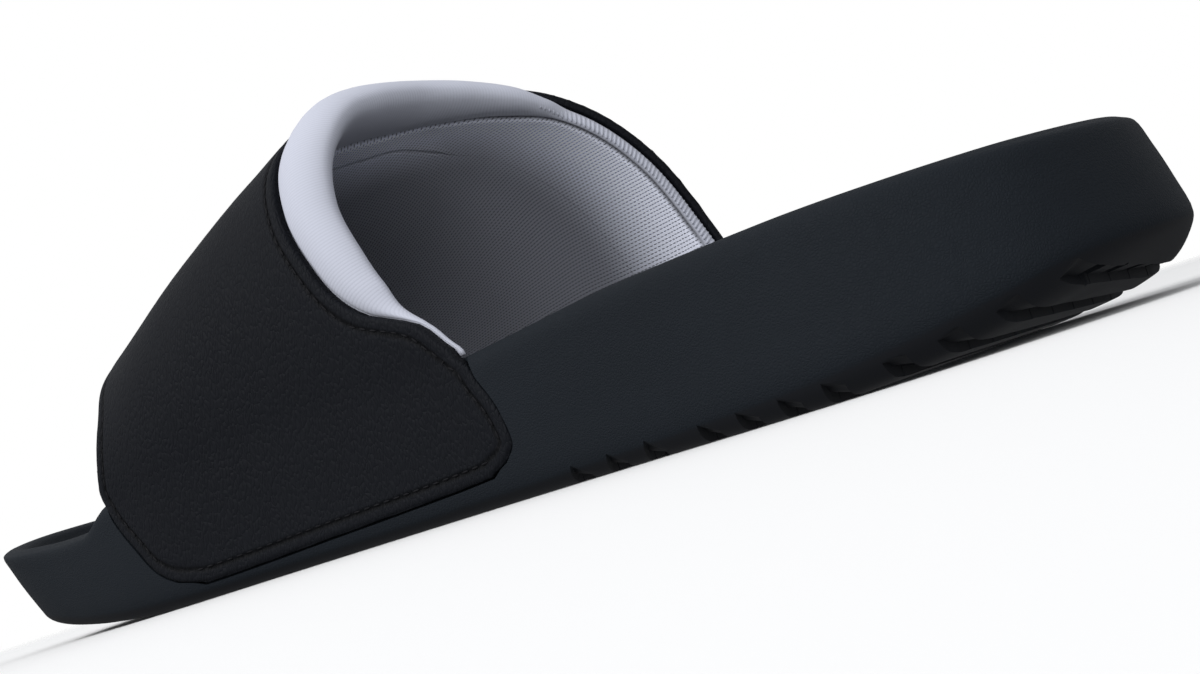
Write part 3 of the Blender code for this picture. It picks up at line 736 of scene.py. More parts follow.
class KnitCloth:
    """Group for the lining's cloth: an open knit against the foot and a fine twill on the rolls, with painted
    shade along the crease and the seam and painted light and shade by depth on the open knit.
    """

    def __init__(self) -> None:
        """Builds the group once."""
        inputs = {
            "Cloth": ("NodeSocketVector", (0.0, 0.0, 0.0)),
            "Zone": ("NodeSocketFloat", 0.0),
            "Inset": ("NodeSocketFloat", 0.0),
            "Seam": ("NodeSocketFloat", 9.0),
            "Painted crease shade": ("NodeSocketFloat", 0.0),
            "Column pitch": ("NodeSocketFloat", 0.78),
            "Row pitch": ("NodeSocketFloat", 0.95),
        }
        outputs = {"Height": "NodeSocketFloat", "Shade": "NodeSocketFloat"}
        self.tree, source, target = group_tree("knit_cloth", inputs, outputs)
        link = Link(self.tree)
        zone = source.outputs["Zone"]
        across = link.node("ShaderNodeSeparateXYZ", {0: source.outputs["Cloth"]})
        u, v = across.outputs[0], across.outputs[1]
        column = link.maths("DIVIDE", u, source.outputs["Column pitch"])
        parity = link.maths("MODULO", link.maths("FLOOR", column), 2.0)
        row = link.maths("MULTIPLY_ADD", parity, 0.5, link.maths("DIVIDE", v, source.outputs["Row pitch"]))
        a = link.maths("SUBTRACT", link.maths("FRACT", column), 0.5)
        b = link.maths("SUBTRACT", link.maths("FRACT", row), 0.5)
        wide = link.maths("POWER", link.maths("MULTIPLY", link.maths("ABSOLUTE", a), 1.7), 2.0)
        long = link.maths("POWER", link.maths("MULTIPLY", link.maths("ABSOLUTE", b), 0.72), 2.0)
        far = link.maths("ADD", wide, long)
        hole = link.eased(far, 0.02, 0.13, 1.0, 0.0)
        slant = link.maths("MULTIPLY_ADD", v, 0.7, link.maths("MULTIPLY", u, 1.7))
        wave = link.maths("SUBTRACT", link.maths("FRACT", slant), 0.5)
        hollow = link.maths("MULTIPLY", link.maths("POWER", link.maths("ABSOLUTE", wave), 2.0), 4.0)
        ridge = link.maths("SUBTRACT", 1.0, hollow)
        seam = link.eased(link.maths("ABSOLUTE", source.outputs["Seam"]), 0.15, 0.9, 1.0, 0.0)
        seam = link.maths("MULTIPLY", seam, zone)
        open_height = link.maths("MULTIPLY", hole, -1.0)
        twill_height = link.maths("MULTIPLY", ridge, 0.16)
        rise = link.maths("MULTIPLY", link.maths("SUBTRACT", open_height, twill_height), zone)
        height = link.maths("MULTIPLY_ADD", seam, -1.6, link.maths("ADD", twill_height, rise))
        dark = link.maths("MULTIPLY", zone, link.maths("MULTIPLY_ADD", hole, 0.62, 0.06))
        groove = link.maths("MULTIPLY", link.maths("SUBTRACT", 1.0, ridge), 0.10)
        plain = link.maths("MULTIPLY", link.maths("SUBTRACT", 1.0, zone), groove)
        shade = link.maths("SUBTRACT", link.maths("SUBTRACT", 1.0, dark), plain)
        # Painted shade along the seam's groove: the colour is darkened there by up to 22 percent, beside its
        # bump.
        shade = link.maths("MULTIPLY", shade, link.maths("MULTIPLY_ADD", seam, -0.22, 1.0))
        # Painted shade along the crease under the roll: the colour is darkened there by up to 82 percent.
        shade = link.maths("MULTIPLY", shade, link.maths("MULTIPLY_ADD", source.outputs["Painted crease shade"], -0.82, 1.0))
        # Painted light and shade by depth: the open knit is lit up to 1.85 times near the roll and darkened
        # to 0.72 deep inside the strap.
        painted_depth_light = link.eased(source.outputs["Inset"], 6.0, 32.0, 0.85, -0.28)
        shade = link.maths("MULTIPLY", shade, link.maths("MULTIPLY_ADD", painted_depth_light, zone, 1.0))
        self.tree.links.new(height, target.inputs["Height"])
        self.tree.links.new(shade, target.inputs["Shade"])


@dataclass(frozen=True)
class Finish:
    """One finish of the sandal: its colour and how it takes the light."""

    name: str
    color: tuple[float, float, float]
    roughness: float
    specular: float = 0.3
    sheen: float = 0.0

    def start(self) -> tuple[bpy.types.Material, Link, bpy.types.Node]:
        """New material with its Principled shader.

        Returns:
            The material, the helper for its nodes and the shader.
        """
        material = bpy.data.materials.new(self.name)
        material.use_nodes = True
        shader = material.node_tree.nodes["Principled BSDF"]
        shader.inputs["Base Color"].default_value = (*self.color, 1.0)
        shader.inputs["Roughness"].default_value = self.roughness
        shader.inputs["Specular IOR Level"].default_value = self.specular
        shader.inputs["Sheen Weight"].default_value = self.sheen
        material.diffuse_color = (*self.color, 1.0)
        return material, Link(material.node_tree), shader

    def shade(self, link: Link, shader: bpy.types.Node, factor: bpy.types.NodeSocket) -> None:
        """Makes the finish's colour lighter or darker.

        Args:
            link: Helper of the material's tree.
            shader: Its Principled shader.
            factor: Socket with the factor, near 1.
        """
        inputs = {0: self.color, "Scale": factor}
        color = link.node("ShaderNodeVectorMath", inputs, operation="SCALE").outputs[0]
        link.tree.links.new(color, shader.inputs["Base Color"])

    def emboss(self, link: Link, shader: bpy.types.Node, height: bpy.types.NodeSocket, metres: float) -> None:
        """Gives the shader a bump.

        Args:
            link: Helper of the material's tree.
            shader: Its Principled shader.
            height: Socket with the height, about 0 to 1.
            metres: Real height of a bump of 1.
        """
        bump = link.node("ShaderNodeBump", {"Height": height, "Strength": 1.0, "Distance": metres}).outputs[0]
        link.tree.links.new(bump, shader.inputs["Normal"])

    def plain(self) -> bpy.types.Material:
        """Material with the colour alone."""
        return self.start()[0]


@dataclass(frozen=True)
class GrainedFinish(Finish):
    """Finish with a moulded or pressed grain, smoother where a zone says so; there its colour also takes a
    more neutral tint, painted light that stands in for how the under side is lit.
    """

    cells_per_metre: float = 1000.0
    bump_metres: float = 0.00005
    cloud: float = 0.2
    stretch: tuple[float, float, float] = (1.0, 1.0, 1.0)
    zone: str = ""
    painted_underside_tint: tuple[float, float, float] = (0.0, 0.0, 0.0)
    seam: str = ""
    seam_inset: float = 2.5

    def build(self, grain: FineGrain) -> bpy.types.Material:
        """Material with the pressed grain on object coordinates.

        Args:
            grain: The grain's node group.

        Returns:
            The material.
        """
        material, link, shader = self.start()
        place = link.node("ShaderNodeTexCoord").outputs["Object"]
        inputs = {
            "Vector": place,
            "Cells per metre": self.cells_per_metre,
            "Stretch": self.stretch,
            "Cloud": self.cloud,
        }
        found = link.node("ShaderNodeGroup", inputs, node_tree=grain.tree)
        factor = link.maths("ADD", found.outputs["Cloud"], 1.0)
        height = found.outputs["Height"]
        if self.seam:
            # Painted shade in the trough of the sewn line.
            factor = link.maths("MULTIPLY", factor, self.painted_seam_shade(link))
        self.shade(link, shader, factor)
        if self.zone:
            # Painted light: the tread zone takes a more neutral tint for the different light on the under
            # side, and its grain is made smoother.
            share = link.node("ShaderNodeAttribute", attribute_name=self.zone).outputs["Fac"]
            wall = shader.inputs["Base Color"].links[0].from_socket
            link.tree.links.new(self.mix_painted_tint(link, share, wall), shader.inputs["Base Color"])
            height = link.maths("MULTIPLY", height, link.maths("MULTIPLY_ADD", share, -0.75, 1.0))
        self.emboss(link, shader, height, self.bump_metres)
        return material

    def mix_painted_tint(
        self, link: Link, share: bpy.types.NodeSocket, wall: bpy.types.NodeSocket
    ) -> bpy.types.NodeSocket:
        """Colour between the wall's and the zone's painted tint, which stands in for how the under side is
        lit.

        Args:
            link: Helper of the material's tree.
            share: Socket with the zone's share.
            wall: Socket with the wall's colour.

        Returns:
            The colour's socket.
        """
        inputs = {"Factor": share, 6: wall, 7: (*self.painted_underside_tint, 1.0)}
        return link.node("ShaderNodeMix", inputs, data_type="RGBA").outputs[2]

    def painted_seam_shade(self, link: Link) -> bpy.types.NodeSocket:
        """Factor of painted shade that darkens the trough of the sewn line.

        Args:
            link: Helper of the material's tree.

        Returns:
            The factor's socket.
        """
        inset = link.node("ShaderNodeAttribute", attribute_name=self.seam).outputs["Fac"]
        near = link.maths("ABSOLUTE", link.maths("SUBTRACT", inset, self.seam_inset))
        inputs = {"Value": near, "From Min": 0.2, "From Max": 0.8, "To Min": 0.35, "To Max": 1.0}
        return link.node("ShaderNodeMapRange", inputs).outputs[0]


@dataclass(frozen=True)
class KnitFinish(Finish):
    """Finish of the lining, laid on the cloth's own threads."""

    bump_metres: float = 0.00012

    def build(self, knit: KnitCloth) -> bpy.types.Material:
        """Material with the knit on the UV map of the cloth.

        Args:
            knit: The knit's node group.

        Returns:
            The material.
        """
        material, link, shader = self.start()
        inputs = {"Cloth": link.node("ShaderNodeUVMap", uv_map="cloth").outputs[0]}
        # The crease and seam attributes carry painted shade, and the inset drives painted light and shade by
        # depth.
        stored = {"Zone": "mesh_zone", "Inset": "inset_mm", "Seam": "seam_mm", "Painted crease shade": "painted_crease_shade"}
        for socket, name in stored.items():
            inputs[socket] = link.node("ShaderNodeAttribute", attribute_name=name).outputs["Fac"]
        found = link.node("ShaderNodeGroup", inputs, node_tree=knit.tree)
        self.shade(link, shader, found.outputs["Shade"])
        self.emboss(link, shader, found.outputs["Height"], self.bump_metres)
        return material


class Piece(Enum):
    """The sandal's pieces: name in the scene, material slot and CAD node."""

    SOLE = ("moulded_sole", "sole_foam", "sole")
    SHELL = ("strap_outer", "strap_leather", "strap_shell")
    LINING = ("strap_padding", "lining_knit", "strap_lining")


class BeadRow:
    """Geometry Nodes group that lays small beads along a path, each turned to the path's aim."""

    def __init__(self) -> None:
        """Builds the group once."""
        self.tree = bpy.data.node_groups.new("bead_row", "GeometryNodeTree")
        face = self.tree.interface
        face.new_socket("Path", in_out="INPUT", socket_type="NodeSocketGeometry")
        kinds = {"Pitch": "Float", "Bead size": "Vector", "Material": "Material"}
        self.pitch, self.size, self.material = (
            face.new_socket(name, in_out="INPUT", socket_type=f"NodeSocket{kind}").identifier
            for name, kind in kinds.items()
        )
        face.new_socket("Beads", in_out="OUTPUT", socket_type="NodeSocketGeometry")
        link = Link(self.tree)
        source, target = self.tree.nodes.new("NodeGroupInput"), self.tree.nodes.new("NodeGroupOutput")
        curve = link.node("GeometryNodeMeshToCurve", {"Mesh": source.outputs["Path"]}).outputs[0]
        spaced = link.node(
            "GeometryNodeResampleCurve", {"Curve": curve, "Length": source.outputs["Pitch"]}, mode="LENGTH"
        ).outputs[0]
        named = link.node("GeometryNodeInputNamedAttribute", {"Name": "aim"}, data_type="FLOAT_VECTOR")
        aim = named.outputs[0]
        turn = link.node("FunctionNodeAlignRotationToVector", {"Vector": aim}, axis="X").outputs[0]
        ball = link.node("GeometryNodeMeshUVSphere", {"Segments": 8, "Rings": 6, "Radius": 0.5}).outputs[0]
        inputs = {"Geometry": ball, "Scale": source.outputs["Bead size"]}
        bead = link.node("GeometryNodeTransform", inputs).outputs[0]
        inputs = {"Points": spaced, "Instance": bead, "Rotation": turn}
        placed = link.node("GeometryNodeInstanceOnPoints", inputs).outputs[0]
        real = link.node("GeometryNodeRealizeInstances", {"Geometry": placed}).outputs[0]
        done = link.node(
            "GeometryNodeSetMaterial", {"Geometry": real, "Material": source.outputs["Material"]}
        ).outputs[0]
        self.tree.links.new(done, target.inputs[0])

    def lay(
        self, name: str, path: np.ndarray, aim: np.ndarray, closed: bool, pitch: float,
        size: tuple[float, float, float], material: bpy.types.Material,
    ) -> bpy.types.Object:
        """Lays one row of beads and turns it into a mesh.

        Args:
            name: Name of the object.
            path: Points of the row in the tables' millimetres.
            aim: Direction of a bead's length at each point.
            closed: Whether the row comes back to its first point.
            pitch: Distance between beads in millimetres.
            size: Length, width and height of a bead in millimetres.
            material: Material of the beads.

        Returns:
            The beads as one mesh.
        """
        count = len(path)
        mesh = bpy.data.meshes.new(name)
        moved = (path - (*ORIGIN_SHIFT, 0.0)) * MM
        edges = [(k, (k + 1) % count) for k in range(count if closed else count - 1)]
        mesh.from_pydata(moved.tolist(), edges, [])
        attribute = mesh.attributes.new("aim", "FLOAT_VECTOR", "POINT")
        attribute.data.foreach_set("vector", np.asarray(aim, np.float32).ravel())
        obj = bpy.data.objects.new(name, mesh)
        bpy.context.scene.collection.objects.link(obj)
        modifier = obj.modifiers.new("bead_row", "NODES")
        modifier.node_group = self.tree
        modifier[self.pitch] = pitch * MM
        modifier[self.size] = [edge * MM for edge in size]
        modifier[self.material] = material
        bpy.context.view_layer.update()
        bake_modifiers(obj)
        obj.data.shade_smooth()
        return obj


@dataclass
class MouldedSole:
    """Sole: one foam moulding with its footbed, wall, tread and strap recesses."""

    form: SandalForm
    outline_points: int = 420
    profile_steps: int = 4
    footbed_columns: int = 36
    tread_columns: int = 20
    recess_columns: int = 48
    recess_reach: float = 6.0

    def rings(self) -> np.ndarray:
        """Rings from under the tread, round the wall and the lip, to the footbed.

        Returns:
            Array of rings by points by 3.
        """
        form = self.form
        line = evenly(form.fine_line, self.outline_points, True)
        along = unit(np.roll(line, -1, axis=0) - np.roll(line, 1, axis=0))
        normal = np.c_[along[:, 1], -along[:, 0]]
        y_line = line[:, 1]
        rings = []
        for inset, share in TREAD_RINGS:
            spot = line - normal * (inset + form.shoulder_inset(y_line))[:, None]
            low, high = form.tread_height(spot[:, 1]), form.shoulder_height(y_line)
            rings.append(np.c_[spot, low + (high - low) * share])
        for share, bulge in WALL_RINGS:
            low, high = form.shoulder_inset(y_line), form.rim_inset(y_line)
            spot = line - normal * (low + (high - low) * share - bulge)[:, None]
            bottom, top = form.shoulder_height(y_line), form.rim_height(spot[:, 1])
            rings.append(np.c_[spot, bottom + (top - bottom) * share])
        for inset, drop in LIP_RINGS:
            spot = line - normal * (form.rim_inset(y_line) + inset)[:, None]
            rings.append(np.c_[spot, form.rim_height(spot[:, 1]) - drop])
        for inset, rise in FOOTBED_RINGS:
            spot = line - normal * (form.rim_inset(y_line) + inset)[:, None]
            rings.append(np.c_[spot, form.footbed_height(spot[:, 0], spot[:, 1]) + rise])
        return np.array(rings)

    def closing_strips(
        self, ring: np.ndarray, start: int, fresh: int, columns: int, height: Callable
    ) -> tuple[list, list]:
        """Strips that close a ring from its inner side to its outer side.

        Args:
            ring: Points of the ring.
            start: Number of the ring's first point.
            fresh: Number of the next new point.
            columns: New points across each strip.
            height: Function of x and y for their height.

        Returns:
            New points and faces.
        """
        count = len(ring)
        half = count // 2
        shares = np.linspace(0, 1, columns + 2)[1:-1]
        points, faces, rows = [], [], []
        for i in range(1, half):
            first, second = ring[i, :2], ring[count - i, :2]
            spots = first + (second - first) * shares[:, None]
            points.append(np.c_[spots, height(spots[:, 0], spots[:, 1])])
            rows.append([start + i, *range(fresh, fresh + columns), start + count - i])
            fresh += columns
        for low, high in zip(rows, rows[1:]):
            faces += [(low[k], low[k + 1], high[k + 1], high[k]) for k in range(len(low) - 1)]
        for tip, row in ((start, rows[0]), (start + half, rows[-1])):
            faces += [(tip, row[k], row[k + 1]) for k in range(len(row) - 1)]
        return points, faces

    def body(self) -> bpy.types.Object:
        """Sole before its channels and recesses are cut.

        Returns:
            The closed body.
        """
        form = self.form
        rings = spline_through(self.rings(), False, self.profile_steps)
        rings[:, :, 2] = np.maximum(rings[:, :, 2], 0.0)
        count = rings.shape[1]
        points = [rings.reshape(-1, 3)]
        faces = grid_quads(len(rings), count, closed=True).tolist()
        fresh = rings.shape[0] * count
        under, strips = self.closing_strips(
            rings[0], 0, fresh, self.tread_columns, lambda x, y: form.tread_height(y)
        )
        points += under
        faces += strips
        fresh += sum(len(p) for p in under)
        over, strips = self.closing_strips(
            rings[-1], (len(rings) - 1) * count, fresh, self.footbed_columns, form.footbed_height
        )
        points += over
        faces += strips
        return new_mesh_object(Piece.SOLE.value[0], np.vstack(points), faces)

    def mark_tread(self, obj: bpy.types.Object) -> None:
        """Stores where the smooth tread ends, as 1 on the tread and 0 on the wall.

        Args:
            obj: The carved sole.
        """
        place = points_of(obj)
        low = self.form.shoulder_height(place[:, 1])
        set_attribute(obj, "tread_zone", 1 - smooth_step(place[:, 2] - low, -1.2, -0.6))

    def recess_cutter(self, side: int) -> bpy.types.Object:
        """Cutter for the pocket that takes one end of the strap.

        Args:
            side: -1 for the inner side and 1 for the outer side.

        Returns:
            The cutter.
        """
        form = self.form
        stations = np.r_[np.linspace(-1, 0, 33), np.linspace(0.004, 0.045, 9)]
        if side > 0:
            stations = np.r_[np.linspace(0.96, 0.996, 9), np.linspace(1, 2, 33)]
        low = form.rear_edge(stations) - EDGE_GAP * form.edge_slant(stations, form.rear_edge)
        high = form.front_edge(stations) + EDGE_GAP * form.edge_slant(stations, form.front_edge)
        y = low[:, None] + (high - low)[:, None] * np.linspace(0, 1, self.recess_columns)
        station = np.broadcast_to(stations[:, None], y.shape)
        base, inward = form.strap_point(station, y), form.strap_inward(station, y)
        base = base - np.array([0, 0, 1.0]) * (GAP + 0.1) * np.isin(station, (-1.0, 2.0))[..., None]
        outer = (base - inward * self.recess_reach).reshape(-1, 3)
        inner = (base + inward * (SHELL_WALL + GAP)).reshape(-1, 3)
        return closed_pair(f"recess_cutter_{side}", outer, inner, *y.shape)


def closed_pair(name: str, outer: np.ndarray, inner: np.ndarray, rows: int, columns: int) -> bpy.types.Object:
    """Closed body from two facing grids of points.

    Args:
        name: Name of the object.
        outer: Points of the outer grid.
        inner: Points of the inner grid.
        rows: Rows of each grid.
        columns: Columns of each grid.

    Returns:
        The body.
    """
    total = rows * columns
    faces = grid_quads(rows, columns).tolist()
    faces += (grid_quads(rows, columns)[:, ::-1] + total).tolist()
    edge = [*range(columns), *(i * columns + columns - 1 for i in range(1, rows))]
    edge += [(rows - 1) * columns + j for j in range(columns - 2, -1, -1)]
    edge += [i * columns for i in range(rows - 2, 0, -1)]
    for a, b in zip(edge, edge[1:] + edge[:1]):
        faces.append((a, a + total, b + total, b))
    return new_mesh_object(name, np.vstack([outer, inner]), faces)


class UnderSide:
    """Skin of the sole's under side: level under the foot and rolled up round its shoulder."""

    def __init__(self, form: SandalForm, rings: np.ndarray) -> None:
        """Measures the skin.

        Args:
            form: The sandal's shape.
            rings: The sole's rings, from under the tread outwards.
        """
        self.form = form
        self.edge = rings[1, :, :2]
        self.along = unit(np.roll(self.edge, -1, axis=0) - np.roll(self.edge, 1, axis=0))
        self.normal = np.c_[self.along[:, 1], -self.along[:, 0]]
        self.skin = spline_through(rings[1:9], False, 8)
        steps = np.linalg.norm(np.diff(self.skin, axis=0), axis=2)
        self.arc = np.vstack([np.zeros(len(self.edge)), np.cumsum(steps, axis=0)])

    def nearest(self, spots: np.ndarray) -> tuple[np.ndarray, np.ndarray]:
        """Nearest place on the skin's bend line.

        Args:
            spots: Places seen from above.

        Returns:
            Number of the nearest point of the line and how far past it each spot lies.
        """
        far = ((spots[:, None] - self.edge[None]) ** 2).sum(axis=2)
        i = far.argmin(axis=1)
        return i, ((spots - self.edge[i]) * self.normal[i]).sum(axis=1)

    def lay(self, spots: np.ndarray) -> tuple[np.ndarray, np.ndarray]:
        """Lays plan spots on the skin.

        Args:
            spots: Places seen from above; past the bend line they run up the wall.

        Returns:
            Points on the skin and the skin's outward normals there.
        """
        i, past = self.nearest(spots)
        level = np.c_[spots, self.form.tread_height(spots[:, 1])]
        arc = self.arc[:, i]
        past_wall = np.clip(past, 0.0, arc[-1] - 1e-6)
        k = np.clip((arc <= past_wall).sum(axis=0) - 1, 0, len(arc) - 2)
        low, high = self.skin[k, i], self.skin[k + 1, i]
        column = np.arange(len(i))
        share = (past_wall - arc[k, column]) / (arc[k + 1, column] - arc[k, column])
        side = ((spots - self.edge[i]) * self.along[i]).sum(axis=1)
        rolled = low + (high - low) * share[:, None]
        rolled[:, :2] += self.along[i] * side[:, None]
        rise = high - low
        out = (rise[:, :2] * self.normal[i]).sum(axis=1)
        length = np.hypot(out, rise[:, 2])
        facing = np.c_[self.normal[i] * (rise[:, 2] / length)[:, None], -out / length]
        on_wall = (past > 0)[:, None]
        return np.where(on_wall, rolled, level), np.where(on_wall, facing, (0.0, 0.0, -1.0))


@dataclass
class TreadCarver:
    """Cuts the tread's channels, pockets and plain strokes along the sole's under side."""

    skin: UnderSide
    climb: float = 8.2
    hook_climb: float = 4.6
    fade: float = 3.0
    step: float = 1.0
    band_gap: float = 3.7
    deep_side: float = 1.5
    shallow_side: float = 0.35
    pocket_length: float = 3.8
    pocket_depth: float = 2.9
    pocket_pitch: float = 9.6
    side_pocket_pitch: float = 9.4
    small_pocket_reach: float = 1.15
    side_channel_reach: float = 0.55
    side_channel_depth: float = 1.2
    line_reach: float = 0.42
    line_depth: float = 0.8
    dash_length: float = 3.4
    dash_reach: float = 1.0
    dash_depth: float = 1.5
    dash_shares: tuple[float, ...] = (0.15, 0.5, 0.85)
    rise_off: float = 0.45
    stand_off: float = 2.2

    def trench(
        self, path: np.ndarray, widths: tuple, depths: tuple, climb: float = 0.0
    ) -> tuple[np.ndarray, list]:
        """One closed cutter along a path over the skin.

        Args:
            path: Places seen from above.
            widths: Reach to the left and to the right, as numbers or arrays.
            depths: Depth at the left and at the right, as numbers or arrays.
            climb: How far up the wall the trench comes to the surface; 0 for one that stays deep.

        Returns:
            The cutter's points and faces.
        """
        along = unit(np.gradient(path, axis=0))
        left = np.c_[-along[:, 1], along[:, 0]]
        count = len(path)
        keep = np.ones(count)
        if climb:
            _, past = self.skin.nearest(path)
            keep = smooth_step(climb - past, 0.0, self.fade)
        corners = []
        for side, width, depth in ((1, widths[0], depths[0]), (-1, widths[1], depths[1])):
            reach = np.broadcast_to(np.asarray(width, float), (count,))
            sunk = np.broadcast_to(np.asarray(depth, float), (count,)) * keep - self.rise_off * (1 - keep)
            spot, facing = self.skin.lay(path + side * left * reach[:, None])
            corners.append((spot + facing * self.stand_off, spot - facing * sunk[:, None]))
        (left_out, left_in), (right_out, right_in) = corners
        points = np.stack([left_out, right_out, right_in, left_in], axis=1).reshape(-1, 3)
        faces = grid_quads(count, 4, closed=True).tolist()
        faces += [(3, 2, 1, 0), tuple(4 * (count - 1) + k for k in range(4))]
        return points, faces

    def run(self, path: tuple, climb: float, rounded: bool = True) -> np.ndarray:
        """Evenly spaced run through given places, cut off where it has climbed the wall.

        Args:
            path: The places seen from above.
            climb: How far past the bend line the run may go.
            rounded: Whether it bends smoothly.

        Returns:
            The run's points.
        """
        dense = spline_through(np.array(path), False, 16) if rounded else np.array(path, float)
        length = np.linalg.norm(np.diff(dense, axis=0), axis=1).sum()
        spaced = evenly(dense, max(3, int(length / self.step)), False)
        _, past = self.skin.nearest(spaced)
        kept = np.flatnonzero(past <= climb)
        return spaced[kept[0]:kept[-1] + 1]

    def channel_paths(self) -> tuple[list[np.ndarray], list[np.ndarray]]:
        """Runs of the channels.

        Returns:
            The hooked runs and the straight ones.
        """
        hooks = [self.run(path, self.hook_climb) for path in HOOK_CHANNELS]
        straight = []
        for first, count, pitch, near_x, far_x, rise in HEEL_CHANNELS:
            for k in range(count):
                share = np.linspace(0, 1, 9)
                x = near_x + (far_x - near_x) * share
                y = first + k * pitch + rise * share
                straight.append(self.run(np.c_[x, y], self.climb))
        return hooks, straight

    def pockets_along(
        self, path: np.ndarray, pitch: float, reach: float, first: float, last_past: float
    ) -> list:
        """Pocket cutters spaced back from the inner end of a channel.

        Args:
            path: The channel's run.
            pitch: Distance between pockets.
            reach: Half width of a pocket.
            first: Distance of the first pocket from the inner end.
            last_past: How far past the bend line the last pocket may lie.

        Returns:
            Cutters as pairs of points and faces.
        """
        far = distances_along(path)
        made = []
        place = far[-1] - first
        while place > 2.0:
            ends = np.linspace(place - self.pocket_length / 2, place + self.pocket_length / 2, 4)
            spots = np.c_[np.interp(ends, far, path[:, 0]), np.interp(ends, far, path[:, 1])]
            _, past = self.skin.nearest(spots)
            if past.max() < last_past:
                depth = self.pocket_depth - 1.0 * smooth_step(past, 0.0, 6.0)
                made.append(self.trench(spots, (reach, reach), (depth, depth)))
            place -= pitch
        return made

    def cutter(self, name: str, parts: list) -> bpy.types.Object:
        """Joins cutters that don't meet into one object.

        Args:
            name: Name of the object.
            parts: The cutters as pairs of points and faces.

        Returns:
            The joined cutter.
        """
        points, faces, start = [], [], 0
        for spots, sides in parts:
            points.append(spots)
            faces += [tuple(k + start for k in side) for side in sides]
            start += len(spots)
        return new_mesh_object(name, np.vstack(points), faces, smooth=False)

    def cut_heel(self, path: np.ndarray) -> tuple[list, list]:
        """Channel and pockets of one straight row at the heel.

        Args:
            path: The row's run.

        Returns:
            Channel cutters and pocket cutters.
        """
        half = self.band_gap / 2
        channel = self.trench(path, (half, half), (self.deep_side, self.shallow_side), self.climb)
        return [channel], self.pockets_along(path, self.pocket_pitch, half + 0.08, 2.4, 4.4)

    def cut_hook(self, path: np.ndarray) -> tuple[list, list]:
        """Channel and pockets of one hooked row, wide and deep at its outer end and narrow past its bend.

        Args:
            path: The row's run.

        Returns:
            Channel cutters and pocket cutters.
        """
        half = self.band_gap / 2
        share = np.linspace(0, 1, len(path))
        narrow = 1 - 0.72 * smooth_step(share, 0.30, 0.62)
        deep = self.deep_side + 0.9 * (1 - smooth_step(share, 0.25, 0.6))
        _, past = self.skin.nearest(path)
        narrow = narrow * (0.12 + 0.88 * smooth_step(self.hook_climb - past, 0.0, 7.0))
        channel = self.trench(path, (half * narrow, half * narrow), (deep, deep * 0.35), self.hook_climb)
        inner = path[int(len(path) * 0.5):]
        along = unit(np.gradient(inner, axis=0))
        beside = inner + np.c_[along[:, 1], -along[:, 0]] * 0.9
        return [channel], self.pockets_along(beside, self.pocket_pitch, self.small_pocket_reach, 3.0, 2.0)

    def cut_side(self, inset: float, first: float, last: float) -> tuple[list, list]:
        """Channel and pockets of one long row at the outer side.

        Args:
            inset: Distance of the row inside the outline.
            first: Place along the foot where it starts.
            last: Place along the foot where it ends.

        Returns:
            Channel cutters and pocket cutters.
        """
        y = np.linspace(first, last, 40)
        path = self.run(np.c_[self.skin.form.outline_x(np.ones(40), y) - inset, y], self.climb)
        reach, depth = self.side_channel_reach, self.side_channel_depth
        beside = path - np.array([1.1, 0.0])
        pockets = self.pockets_along(beside, self.side_pocket_pitch, self.small_pocket_reach, 4.0, 2.0)
        return [self.trench(path, (reach, reach), (depth, depth))], pockets

    def middle_cuts(self, row: tuple) -> list:
        """Plain slanted strokes of one row, with short pockets in every other space between them.

        Args:
            row: One row of MIDDLE_STROKES.

        Returns:
            Cutters as pairs of points and faces.
        """
        first, count, pitch, near, far, rise = row
        reach, depth, half = self.dash_reach, self.dash_depth, self.dash_length / 2
        slant = np.array([far - near, rise])
        cuts = []
        for k in range(count):
            start = np.array([near, first + k * pitch])
            stroke = self.run((start, start + slant), self.climb, rounded=False)
            cuts.append(self.trench(stroke, (self.line_reach,) * 2, (self.line_depth,) * 2))
            if k % 2 == 0:
                for share in self.dash_shares:
                    middle = start + slant * share + np.array([0.0, pitch / 2])
                    path = middle + unit(slant) * np.linspace(-half, half, 4)[:, None]
                    cuts.append(self.trench(path, (reach, reach), (depth, depth)))
        return cuts

    def fine_cuts(self, ticked: np.ndarray) -> list:
        """Strokes and short pockets of the middle, and short ticks beside one hooked row.

        Args:
            ticked: Run of the row with the ticks.

        Returns:
            Cutters as pairs of points and faces.
        """
        deep = (self.line_depth, self.line_depth)
        cuts = [cut for row in MIDDLE_STROKES for cut in self.middle_cuts(row)]
        for k in range(int(len(ticked) * 0.38), int(len(ticked) * 0.86), 5):
            step = unit(ticked[k + 1] - ticked[k])
            away = np.array([step[1], -step[0]]) * 0.75 + step * 0.65
            path = ticked[k] + away * np.linspace(1.5, 6.0, 5)[:, None]
            width = np.linspace(0.6, 0.12, 5)
            cuts.append(self.trench(path, (width, width), deep))
        return cuts

    def cutters(self) -> list[bpy.types.Object]:
        """All cutters.

        Returns:
            The joined cutters, in the order in which the tread takes them.
        """
        hooks, straight = self.channel_paths()
        rows = [self.cut_heel(path) for path in straight]
        rows += [self.cut_hook(path) for path in hooks]
        rows += [self.cut_side(*row) for row in SIDE_CHANNELS]
        return [
            self.cutter("channel_cutter", [part for channels, _ in rows for part in channels]),
            self.cutter("pocket_cutter", [part for _, pockets in rows for part in pockets]),
            self.cutter("line_cutter", self.fine_cuts(hooks[0])),
        ]


